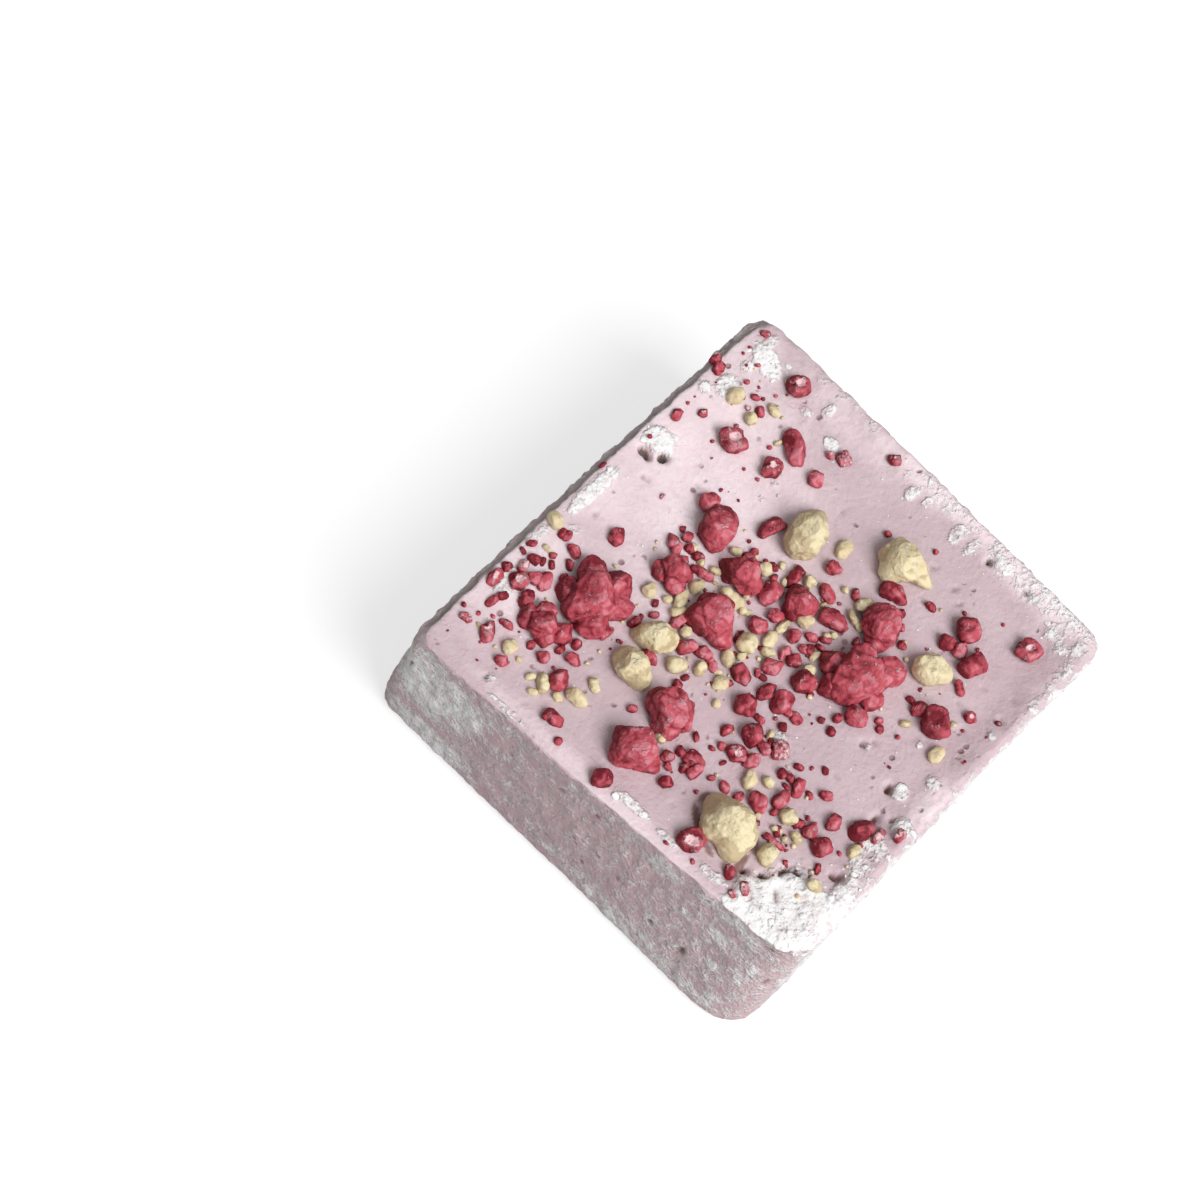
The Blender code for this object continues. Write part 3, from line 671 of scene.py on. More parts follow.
creamPieces = (
    (-16.1, 13.7, 1.9, 1.6, 80, "tan"), (-13.8, 13.2, 1.4, 1.3, 0, "cream"),
    (-13, 15.4, 1.4, 1, -20, "cream"), (-10.8, 13.4, 1, 0.5, 70, "tan"), (-0.5, 10, 2, 1.3, 100, "tan"),
    (1.9, 7.3, 1, 0.8, 90, "tan"), (-9.2, -5.2, 1.6, 1.3, 90, "tan"),
    (-18.5, -6.9, 1.7, 1.3, -20, "tan"), (-6.8, -2, 1.6, 1.3, 90, "tan"),
    (-6.9, -4, 2.2, 1.2, 100, "tan"), (-6.4, -5, 1.4, 1, 60, "tan"), (-0.6, 5.5, 1.5, 1.2, 90, "cream"),
    (-3.9, 3.5, 1.5, 1.2, 30, "tan"), (-6.7, 2.9, 1.2, 1, 60, "tan"), (1.4, 2.3, 1.5, 1.3, 20, "tan"),
    (0.4, 0.7, 1.6, 0.9, 90, "cream"), (0.4, -1, 1.8, 1.2, 100, "tan"),
    (-4.1, -0.6, 2.6, 1.3, 0, "tan"), (-0.6, -2.9, 2.1, 1.8, 110, "cream"),
    (-0.9, -4.9, 1.6, 1.2, -40, "tan"), (4.4, -0.6, 1.3, 1.2, 0, "cream"),
    (3.9, 0.7, 1.2, 0.8, 90, "tan"), (4.3, 5.6, 2.3, 0.9, -22, "cream"),
    (3.9, 7.3, 1.8, 1.2, 60, "cream"), (-4.8, -5.8, 1.2, 1.2, 0, "tan"), (0.1, -7, 1.6, 1.3, 70, "tan"),
    (-1.9, -7.3, 1.5, 1, 100, "cream"), (-3.4, -8.6, 1.9, 1.7, 60, "cream"),
    (16.4, 1.2, 1.7, 1.3, 90, "tan"), (-13.5, -17.6, 1.5, 1.3, 90, "tan"),
    (-12.3, -17.8, 0.7, 0.6, 0, "tan"), (-9.7, -17.9, 1.9, 1.1, -48, "cream"),
    (-10.7, -18.2, 0.9, 0.7, 60, "tan"), (-9.7, -19.1, 0.9, 0.7, 30, "tan"),
    (-7, -16.8, 2.1, 1.3, 10, "tan"), (-6.8, -14.9, 1.4, 1, -30, "tan"),
    (-8, -17.9, 1.1, 0.9, 0, "tan"), (1, -8.6, 1, 0.8, 10, "tan"), (-0.2, -14.5, 1.1, 0.8, 0, "cream"),
    (7.1, -11.7, 1.7, 1.2, 110, "tan"), (8.2, -10.7, 1.4, 1.2, 70, "cream"),
    (11.2, -11.9, 1.7, 1.5, 40, "cream"), (12.7, -12.7, 1.3, 0.9, -10, "cream"),
    (12, -15.5, 2.1, 1.7, 100, "cream"), (16.2, -15, 1.4, 1.2, 0, "cream"),
    (16.7, -10.3, 1.3, 1, 90, "cream"), (11.2, -13.3, 1.1, 0.7, 10, "tan"),
    (-3.4, 0.3, 0.7, 0.6, 0, "tan"), (13, -13.4, 0.6, 0.5, 0, "tan"), (9.4, -13.5, 0.7, 0.6, 0, "tan"),
    (-17.3, -9.1, 0.9, 0.6, 0, "tan"), (15.8, -16.5, 0.6, 0.5, 0, "tan"),
    (5.9, -2.4, 0.6, 0.5, 0, "tan"), (-5.2, 3.9, 0.6, 0.5, 0, "tan"),
)

icoStore = {}


def unitBall(detail):
    # directions, faces and edges of an icosphere, made once per detail
    if detail not in icoStore:
        ball = bmesh.new()
        bmesh.ops.create_icosphere(ball, subdivisions=detail, radius=1.0)
        ball.verts.ensure_lookup_table()
        directions = np.array([tuple(vertex.co.normalized()) for vertex in ball.verts])
        faces = [tuple(vertex.index for vertex in face.verts) for face in ball.faces]
        edges = np.array([[vertex.index for vertex in edge.verts] for edge in ball.edges])
        ball.free()
        icoStore[detail] = (directions, faces, edges)
    return icoStore[detail]


def evenOut(values, edges, share, times=1):
    # each value moves towards the mean of its neighbours
    links = np.bincount(edges.ravel()).astype(float)
    for _ in range(times):
        total = np.zeros_like(values)
        np.add.at(total, edges[:, 0], values[edges[:, 1]])
        np.add.at(total, edges[:, 1], values[edges[:, 0]])
        values = values * (1.0 - share) + share * total / links
    return values


def nodules(points, size, depth):
    # round grains with creases between them, and how deep in a crease each point is
    lows = []
    for point in points:
        nearest = noise.voronoi(Vector(point) / size)[0]
        lows.append((nearest[0], nearest[1] - nearest[0]))
    lows = np.array(lows)
    crease = 1.0 - smoothStep(0.0, 0.28, lows[:, 1])
    return -depth * (0.6 * crease + 0.5 * lows[:, 0] ** 2), crease


def lobeReach(directions, lobes):
    # how far the lobes reach in each direction from the middle of the first one
    offsets = lobes[:, :3] - lobes[0, :3]
    along = directions @ offsets.T
    inside = lobes[:, 3] ** 2 - (offsets ** 2).sum(axis=1) + along ** 2
    return np.where(inside > 0.0, along + np.sqrt(np.maximum(inside, 0.0)), 0.0).max(axis=1)


def cutFacets(reach, directions, breaking, dice):
    # flat broken faces, the first one on top; the mean size stays as it was
    full = reach.mean()
    for index in range(breaking["facets"]):
        lean = 1.0 if index else 0.35
        sideways, forwards = dice.uniform(-lean, lean), dice.uniform(-lean, lean)
        normal = Vector((sideways, forwards, dice.uniform(-0.1, 1.0) if index else 1.0)).normalized()
        facing = directions @ np.array(normal)
        cut = dice.uniform(*breaking["cut" if index else "topCut"])
        limit = (reach * np.maximum(facing, 0.0)).max() * cut
        reach = np.minimum(reach, np.where(facing > 0.05, limit / np.maximum(facing, 0.05), 1e3))
    return reach * (full / reach.mean())


def burstOpen(directions, dice):
    # a burst drupelet: how hollow it is in each direction, and how far its side is open
    tilt = dice.uniform(0.0, 0.3)
    turn = dice.uniform(0, math.tau)
    axis = np.array(Vector((tilt * math.cos(turn), tilt * math.sin(turn), 1.0)).normalized())
    wobble = 0.05 * fractalNoise(directions, 0.5, 2, dice.uniform(0, 40))
    hollow = np.exp(-((1.0 - directions @ axis + wobble) / 0.2) ** 2)
    opening = np.array((math.cos(turn), math.sin(turn), 0.5))
    notch = np.exp(-((1.0 - directions @ (opening / np.linalg.norm(opening))) / 0.1) ** 2)
    return hollow, notch


def lumpBody(lobes, floorHeight, detail, breaking, look, dice):
    # lobes: x, y, z, radius in mm. Returns points, faces, sugar amount and tone of each point.
    directions, faces, edges = unitBall(detail)
    lobes = np.array(lobes, dtype=float)
    reach = evenOut(lobeReach(directions, lobes), edges, 0.4)
    reach = evenOut(reach, edges, 0.8, int(breaking["fusing"] * 4 ** (detail - 4)))
    reach = cutFacets(reach, directions, breaking, dice)
    rounded = evenOut(reach, edges, 0.8, 2 * detail)
    # how far each point is sunk below the rounded shape, for painted shade in hollows
    hollowShade = np.clip((rounded - reach) / 0.12, 0.0, 1.0)
    reach = evenOut(reach, edges, 0.25)
    sugar = np.full(len(directions), toppingStyle["sugar"].get(look, toppingStyle["plainSugar"]))
    if look == "torn":
        hollow, notch = burstOpen(directions, dice)
        reach = reach * (1.0 - 0.55 * np.maximum(hollow, 0.75 * notch))
        sugar = np.maximum(sugar, 1.15 * hollow)
        hollowShade = np.maximum(hollowShade, 0.35 * hollow)
    points = lobes[0, :3] + directions * reach[:, None]
    shift = dice.uniform(0, 40)
    share = min(1.0, 0.35 + 0.5 * lobes[:, 3].max())
    push, crease = nodules(points + shift, breaking["noduleSize"] * share, breaking["noduleDepth"] * share)
    coarse, fine = fractalNoise(points, 1.0, 2, shift), fractalNoise(points, 0.35, 3, 3.0)
    grain = breaking["grain"] * (coarse + 0.9 * fine)
    points = points + directions * (push + grain * share)[:, None]
    tones = lumpTones
    # painted shade close to the slab, partly a berry juice stain
    low = 1.0 - smoothStep(*tones["lowBand"], points[:, 2] - floorHeight)
    points[:, 2] = np.maximum(points[:, 2], floorHeight)
    up = np.maximum(directions[:, 2], 0.0)
    patchy = fractalNoise(points, 0.8, 2, shift + 5.0)
    # painted light on faces turned up, painted shade in hollows and creases
    tone = tones["patches"] * patchy + tones["paintedUpLight"] * (up - tones["neutralUp"])
    tone = tone + tones["hollow"] * hollowShade + tones["crease"] * crease + tones["low"] * low
    side = directions @ np.array(toppingStyle["shadedSide"])
    if look in ("cream", "tan"):  # browned skin down one side, partly a real crust and partly painted shade on the side turned from the light
        tone += tones["brownAndShadedSide"] * smoothStep(*tones["brownBand"], side + 0.3 * patchy)
    else:
        # painted shade: the side turned from the light is darker
        tone += tones["shadedSide"] * side
    sugar = sugar + toppingStyle["upperSugarAndLight"] * up * (1.0 + patchy)
    return points, faces, sugar, tone


# highest point of what already lies on the slab, on a fine square grid, in mm
pileStep = 0.2
pileHalf = 24
pileCount = round(2 * pileHalf / pileStep)
pileHeights = np.zeros((pileCount, pileCount))


def pileSlice(middle, reach):
    low = int((middle - reach + pileHalf) / pileStep)
    high = int((middle + reach + pileHalf) / pileStep) + 1
    return slice(max(low, 0), high)


def pileUnder(x, y, reach):
    return float(pileHeights[pileSlice(x, reach), pileSlice(y, reach)].mean())


def addToPile(points, ground):
    columns = ((points[:, 0] + pileHalf) / pileStep).astype(int)
    rows = ((points[:, 1] + pileHalf) / pileStep).astype(int)
    np.maximum.at(pileHeights, (columns, rows), np.maximum(points[:, 2] - ground, 0.0))


def crumbLobes(x, y, z, radius, dice):
    # one crumb of a berry cluster: a ball with three smaller ones at its sides
    lobes = [(x, y, z, radius * 0.92)]
    for _ in range(3):
        turn, size = dice.uniform(0, math.tau), radius * dice.uniform(0.45, 0.62)
        out = radius - size
        lobes.append((x + out * math.cos(turn), y + out * math.sin(turn),
                      z + dice.uniform(-0.3, 0.5) * radius, size))
    return lobes


def chunkBodies(lobes, look, breaking, tones, dice):
    # a nugget is one lump, a large berry cluster several crumbs stuck together
    ground = surfaceHeight(*lobes[0][:2])
    middleX, middleY = np.mean([lobe[:2] for lobe in lobes], axis=0)
    away = [math.hypot(lobeX - middleX, lobeY - middleY) for lobeX, lobeY, _ in lobes]
    solid = []
    for (lobeX, lobeY, radius), distance in zip(lobes, away):
        rise = 0.45 * radius * (1.0 - distance / (max(away) + 0.01))
        solid.append((lobeX, lobeY, ground + radius * dice.uniform(0.35, 0.6) + rise, radius))
    isCluster = look != "cream" and len(lobes) > 4
    floorHeight, bodies = ground - toppingStyle["sink"], []
    if isCluster:
        for lobe in solid:
            body = lumpBody(crumbLobes(*lobe, dice), floorHeight, 5, breaking, look, dice)
            bodies.append((body, dice.uniform(*tones)))
    else:
        bodies.append((lumpBody(solid, floorHeight, 6, breaking, look, dice), dice.uniform(*tones)))
    for body, _ in bodies:
        addToPile(body[0], ground)
    return bodies


def pieceLobes(x, y, length, width, turn, ground, dice):
    # a few overlapping lobes that fill a turned ellipse of the given size
    count = 1 if length < 0.8 else 3 if length < 1.5 else 5
    middle = width * 0.42
    squat = dice.uniform(0.35, 0.75)
    lobes = [(x, y, ground + middle * squat, middle)]
    angle = math.radians(turn)
    start = dice.uniform(0, math.tau)
    for index in range(1, count):
        radius = width * dice.uniform(0.27, 0.38)
        around = start + math.tau * index / (count - 1) + dice.uniform(-0.3, 0.3)
        along = (length * 0.5 - radius) * math.cos(around)
        across = (width * 0.5 - radius) * math.sin(around)
        lobeX = x + along * math.cos(angle) - across * math.sin(angle)
        lobeY = y + along * math.sin(angle) + across * math.cos(angle)
        lobes.append((lobeX, lobeY, ground + radius * dice.uniform(0.4, 1.3), radius))
    if length > width * 1.25:
        for side in (-1, 1):
            offset = side * (length * 0.5 - width * 0.4)
            lobes.append((x + offset * math.cos(angle), y + offset * math.sin(angle),
                          ground + width * 0.25, width * 0.4))
    return lobes


def joinBodies(name, bodies):
    # bodies: what lumpBody returns and the tone of the whole piece
    points, faces, sugar, tone = [], [], [], []
    start = 0
    for (bodyPoints, bodyFaces, bodySugar, bodyTone), pieceTone in bodies:
        points.append(bodyPoints)
        faces.extend([tuple(index + start for index in face) for face in bodyFaces])
        sugar.append(bodySugar)
        tone.append(bodyTone + pieceTone)
        start += len(bodyPoints)
    values = {"powder": np.concatenate(sugar), "tone": np.concatenate(tone)}
    return meshObject(name, np.concatenate(points), faces, values=values)


def scatteredPieces(name, pieces, breaking, dice):
    # the largest lie lowest
    bodies = []
    for x, y, length, width, turn, look in sorted(pieces, key=lambda piece: -piece[2] * piece[3]):
        lift = toppingStyle["pileShare"] * pileUnder(x, y, width * 0.35)
        ground = surfaceHeight(x, y)
        lobes = pieceLobes(x, y, length, width, turn, ground + lift, dice)
        detail = 4 if length > 1.15 else 3
        floorHeight = ground + lift * 0.5 - toppingStyle["sink"]
        body = lumpBody(lobes, floorHeight, detail, breaking, look, dice)
        addToPile(body[0], ground)
        bodies.append((body, dice.uniform(*toppingStyle["pieceTones"][look])))
    return joinBodies(name, bodies)


# where crumbs and the larger bits fall: x, y, spread in mm
crumbSpots = (
    (-11, -9, 3.2), (-15, -15.5, 2.6), (-3, -1, 4), (5.5, 1.5, 4.2), (1.5, -6.5, 3.6),
    (9, -12.5, 3.4), (13, -12, 2.2), (-15.5, 14.5, 2.6), (11, 6, 4.6), (-9, 4, 5),
)
bitSpots = (
    (-3, 0, 3), (4, 2.5, 3.2), (-6.5, -1.5, 2.8), (2, -3.5, 2.4), (-14.5, -13, 2.2),
    (10.5, -12.5, 2.4), (1.5, -14.5, 1.6), (-5, -6.5, 2.4), (6, -8.5, 1.6), (-16, -10, 1.8),
)
scattered = {
    "redCrumbs": {"count": 190, "sizes": (0.3, 0.75), "tones": (0.4, 0.9), "spots": crumbSpots,
                  "breaking": redBreak},
    "creamCrumbs": {"count": 90, "sizes": (0.3, 0.8), "tones": (0.3, 0.9), "spots": crumbSpots,
                    "breaking": creamBreak},
    "redBits": {"count": 150, "sizes": (0.95, 1.6), "tones": (0.3, 0.75), "spots": bitSpots,
                "breaking": redBreak},
    "creamBits": {"count": 70, "sizes": (0.9, 1.5), "tones": (0.3, 0.9), "spots": bitSpots[:4],
                  "breaking": creamBreak},
}
scatterField = (-18.4, 18.4, -20.4, 19.6)    # left, right, front, back
largeCrumb = 0.6


def scatterCrumbs(name, dice):
    # small ones fall anywhere near the spots, larger ones only where nothing lies yet
    kind = scattered[name]
    left, right, front, back = scatterField
    bodies = []
    for _ in range(kind["count"]):
        spotX, spotY, spread = dice.choice(kind["spots"])
        x = min(max(dice.gauss(spotX, spread), left), right)
        y = min(max(dice.gauss(spotY, spread), front), back)
        size = dice.uniform(*kind["sizes"]) * dice.uniform(0.6, 1.0)
        isLarge = size > largeCrumb
        if isLarge and pileUnder(x, y, size * 0.5) > 0.35:
            continue
        ground = surfaceHeight(x, y)
        lobes = pieceLobes(x, y, size, size * dice.uniform(0.6, 0.95), dice.uniform(0, 180), ground, dice)
        body = lumpBody(lobes, ground - 0.15, 3 if isLarge else 2, kind["breaking"], "plain", dice)
        if isLarge:
            addToPile(body[0], ground)
        bodies.append((body, dice.uniform(*kind["tones"])))
    return joinBodies(name, bodies)


print("stage: topping chunks")
dice = random.Random(toppingStyle["seed"])
chunkObjects = []
for node, lobes in {**redChunks, **creamChunks}.items():
    isRed = node in redChunks
    breaking = creamBreak if not isRed else redClusterBreak if len(lobes) > 4 else redBlockBreak
    tones = toppingStyle["chunkTones"]["red" if isRed else "tan" if node in tanNuggets else "cream"]
    look = "plain" if isRed else "cream"
    piece = joinBodies(node + "_look", chunkBodies(lobes, look, breaking, tones, dice))
    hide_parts(node)
    chunkObjects.append(piece)

print("stage: small pieces")
redObject = scatteredPieces("redPieces", redPieces, redBreak, dice)
creamObject = scatteredPieces("creamPieces", creamPieces, creamBreak, dice)
redCrumbs, creamCrumbs, redBits, creamBits = [scatterCrumbs(name, dice) for name in scattered]


looseSugar = {
    "flakesPerPatch": 2,     # both times width x depth / 4 and how thick it lies, less 0.3
    "flakeSizes": (0.3, 0.75),
    "grainsPerPatch": 5,
    "grainSizes": (0.14, 0.34),
    "strayGrains": 110,
    "straySizes": (0.12, 0.3),
    "crackEdge": (0.9, 1.4),
    "edgeGap": 0.6,          # mm kept free along the edges of the top
    "pileGap": 0.2,          # no grain where more than this lies already
}


def grainBody(x, y, z, size, squat, dice):
    # a broken crystal, pressed flat and tilted
    lobes = [(x, y, z, size * 0.42)]
    for _ in range(4):
        around, away = dice.uniform(0, math.tau), size * dice.uniform(0.15, 0.4)
        lobes.append((x + away * math.cos(around), y + away * math.sin(around),
                      z + dice.uniform(-0.05, 0.12) * size, size * dice.uniform(0.14, 0.3)))
    body = lumpBody(lobes, z - size, 2 if size < 0.3 else 3, sugarBreak, "plain", dice)
    lift = dice.uniform(-0.35, 0.35)
    body[0][:, 2] = z + (body[0][:, 2] - z) * squat + (body[0][:, 0] - x) * lift
    return body, 0.5


def takesGrain(x, y, index):
    # clear of cracks, edges and toppings, and only every third one where the heap is smeared
    crack = patchAmount(np.array([x]), np.array([y]), topCracks, looseSugar["crackEdge"])[0]
    if crack > 0.1 or (heapFan(x, y) > 0.4 and index % 3 > 0):
        return False
    return min(sideDistances(x, y)) >= looseSugar["edgeGap"] and pileUnder(x, y, 0.3) <= looseSugar["pileGap"]


def sugarGrains(dice):
    bodies = []
    for patchX, patchY, width, depth, turn, strength in topPowder:
        area = 0.25 * width * depth * max(strength - 0.3, 0.2)
        flakes, grains = (int(looseSugar[name] * area) for name in ("flakesPerPatch", "grainsPerPatch"))
        for index in range(flakes + grains):
            angle, away = dice.uniform(0, math.tau), math.sqrt(dice.random()) * 0.55
            x, y = patchX + width * away * math.cos(angle), patchY + depth * away * math.sin(angle)
            if takesGrain(x, y, index):
                size = dice.uniform(*looseSugar["flakeSizes" if index < flakes else "grainSizes"])
                bodies.append(grainBody(x, y, surfaceHeight(x, y), size, dice.uniform(0.3, 0.7), dice))
    for _ in range(looseSugar["strayGrains"]):
        x, y = dice.uniform(-18, 18), dice.uniform(-20, 19)
        size = dice.uniform(*looseSugar["straySizes"])
        bodies.append(grainBody(x, y, surfaceHeight(x, y), size, 0.7, dice))
    return joinBodies("sugarGrains", bodies)


print("stage: sugar")
sugarObject = sugarGrains(dice)
loosePieces = (redObject, creamObject, redCrumbs, creamCrumbs, redBits, creamBits, sugarObject)
print("triangles", {piece.name: len(piece.data.polygons) for piece in loosePieces})


def feed(tree, socket, value):
    # value: a number, a vector, a colour or another node's output
    if isinstance(value, bpy.types.NodeSocket):
        tree.links.new(value, socket)
    elif socket.type == "RGBA":
        socket.default_value = (*value, 1.0)
    else:
        socket.default_value = value


def addNode(tree, kind, place, settings=None, inputs=None):
    node = tree.nodes.new(kind)
    node.location = place
    for name, value in (settings or {}).items():
        setattr(node, name, value)
    for name, value in (inputs or {}).items():
        feed(tree, node.inputs[name], value)
    return node


def mathNode(tree, place, operation, *values, clamp=False):
    settings = {"operation": operation, "use_clamp": clamp}
    return addNode(tree, "ShaderNodeMath", place, settings, dict(enumerate(values))).outputs[0]


def mixColour(tree, place, share, first, second):
    inputs = {0: share, 6: first, 7: second}
    return addNode(tree, "ShaderNodeMix", place, {"data_type": "RGBA"}, inputs).outputs[2]


def mixValue(tree, place, share, first, second):
    inputs = {0: share, 2: first, 3: second}
    return addNode(tree, "ShaderNodeMix", place, {"data_type": "FLOAT"}, inputs).outputs[0]


def mapRange(tree, place, value, fromLow, fromHigh, toLow=0.0, toHigh=1.0):
    inputs = {0: value, 1: fromLow, 2: fromHigh, 3: toLow, 4: toHigh}
    return addNode(tree, "ShaderNodeMapRange", place, {"interpolation_type": "SMOOTHSTEP"}, inputs).outputs[0]


def noiseTexture(tree, place, vector, scale, detail, roughness):
    inputs = {"Vector": vector, "Scale": scale, "Detail": detail, "Roughness": roughness}
    return addNode(tree, "ShaderNodeTexNoise", place, inputs=inputs).outputs["Fac"]


def newGroup(name, inputs, outputs):
    # the group, what it is given and the position on the object
    group = bpy.data.node_groups.new(name, "ShaderNodeTree")
    for label, value in inputs.items():
        socket = group.interface.new_socket(label, in_out="INPUT", socket_type="NodeSocketFloat")
        socket.default_value = value
    for label in outputs:
        group.interface.new_socket(label, in_out="OUTPUT", socket_type="NodeSocketFloat")
    given = addNode(group, "NodeGroupInput", (-900, 0)).outputs
    return group, given, addNode(group, "ShaderNodeTexCoord", (-900, -300)).outputs["Object"]


def closeGroup(group, results):
    addNode(group, "NodeGroupOutput", (800, 0), inputs=results)
    return group


def buildDustGroup():
    # sugar dust: breaks a soft amount up into patches with a ragged edge
    sizes = {"Amount": 0.0, "Patch Size": 900.0, "Grain Size": 4200.0, "Low": 0.5, "High": 0.8}
    group, given, position = newGroup("sugarDust", sizes, ("Mask", "Height"))
    patches = noiseTexture(group, (-650, -100), position, given["Patch Size"], 5.0, 0.62)
    grains = noiseTexture(group, (-650, -400), position, given["Grain Size"], 2.0, 0.5)
    ragged = mathNode(group, (-400, -100), "MULTIPLY_ADD", patches, 1.7, -0.85)
    speckled = mathNode(group, (-400, -300), "MULTIPLY_ADD", grains, 1.1, -0.55)
    edges = mathNode(group, (-200, -200), "ADD", ragged, speckled)
    amount = mathNode(group, (0, 0), "ADD", given["Amount"], edges)
    mask = mapRange(group, (200, 0), amount, given["Low"], given["High"])
    bumpy = mathNode(group, (400, -200), "ADD", grains, patches)
    height = mathNode(group, (600, -200), "MULTIPLY", mask, bumpy)
    return closeGroup(group, {"Mask": mask, "Height": height})


def buildGrainGroup():
    # fine uneven surface: tone for colour, height for bump
    sizes = {"Coarse Size": 900.0, "Fine Size": 3500.0, "Fine Share": 0.5}
    group, given, position = newGroup("fineGrain", sizes, ("Tone", "Height"))
    coarse = noiseTexture(group, (-650, 100), position, given["Coarse Size"], 3.0, 0.55)
    fine = noiseTexture(group, (-650, -200), position, given["Fine Size"], 3.0, 0.6)
    tone = mapRange(group, (-350, 100), coarse, 0.3, 0.7)
    finePart = mathNode(group, (-350, -200), "MULTIPLY", fine, given["Fine Share"])
    height = mathNode(group, (0, -100), "ADD", finePart, coarse)
    return closeGroup(group, {"Tone": tone, "Height": height})


def buildPinholeGroup():
    # burst bubbles of the foam: small round pits, only where a second noise lets them through
    group, given, position = newGroup("pinholes", {"Size": 900.0, "Share": 0.5}, ("Mask", "Height"))
    cells = addNode(group, "ShaderNodeTexVoronoi", (-650, 100), {"feature": "F1"},
                    {"Vector": position, "Scale": given["Size"]})
    crowds = noiseTexture(group, (-650, -200), position, 420.0, 2.0, 0.5)
    pit = mapRange(group, (-350, 100), cells.outputs["Distance"], 0.32, 0.12)
    allowed = mathNode(group, (-350, -200), "ADD", crowds, given["Share"])
    allowed = mapRange(group, (-150, -200), allowed, 1.08, 1.18)
    mask = mathNode(group, (100, 0), "MULTIPLY", pit, allowed)
    height = mathNode(group, (300, -200), "MULTIPLY", mask, -1.0)
    return closeGroup(group, {"Mask": mask, "Height": height})


dustGroup = buildDustGroup()
grainGroup = buildGrainGroup()
pinholeGroup = buildPinholeGroup()


def placeGroup(tree, group, place, inputs):
    return addNode(tree, "ShaderNodeGroup", place, {"node_tree": group}, inputs).outputs


def newMaterial(name, settings):
    material = bpy.data.materials.new(name)
    material.use_nodes = True
    shader = material.node_tree.nodes["Principled BSDF"]
    shader.location = (900, 0)
    for label, value in settings.items():
        shader.inputs[label].default_value = value
    return material, material.node_tree, shader


def attributeOutput(tree, place, name):
    return addNode(tree, "ShaderNodeAttribute", place, {"attribute_name": name}).outputs["Fac"]


def addBump(tree, place, height, distance, strength, shader):
    inputs = {"Height": height, "Distance": distance, "Strength": strength}
    bump = addNode(tree, "ShaderNodeBump", place, inputs=inputs)
    tree.links.new(bump.outputs["Normal"], shader.inputs["Normal"])


marshmallowLook = {
    "skinPink": (0.615, 0.485, 0.52),
    "deepPink": (0.565, 0.435, 0.47),
    # pale pink of the veil, partly dust and partly painted light
    "veilPink": (0.87, 0.735, 0.77),
    "cutPink": (0.615, 0.445, 0.47),         # inside foam, bare of dust
    # painted shade inside the burst bubbles
    "pit": (0.38, 0.24, 0.26),
    "sugarWhite": (0.88, 0.858, 0.858),
    # brown of the real stains, also painted shade in shallow holes
    "stainAndShade": (0.17, 0.07, 0.05),
    # near-black painted shadow in the cracks and the deepest holes
    "crack": (0.035, 0.018, 0.02),
    # grey painted shade along the left rim
    "paintedEdgeShade": (0.22, 0.22, 0.19),
    "skinRoughness": 0.55,
    "sugarRoughness": 0.9,
    "bump": 0.00022,
    "dustBump": 0.85,
    # sizes are counts per metre, so larger is finer
    "lyingDust": {"Patch Size": 750.0, "Grain Size": 2600.0, "Low": 0.38, "High": 1.0},
    "clingingDust": {"Patch Size": 1000.0, "Grain Size": 3200.0, "Low": 0.2, "High": 1.0},
    "grain": {"Coarse Size": 240.0, "Fine Size": 2100.0, "Fine Share": 0.6},
    "pits": {"Size": 900.0, "Share": 0.5},
    "shader": {"Subsurface Weight": 0.3, "Subsurface Radius": (1.0, 0.6, 0.6), "Subsurface Scale": 0.0007,
               "Specular IOR Level": 0.3},
}


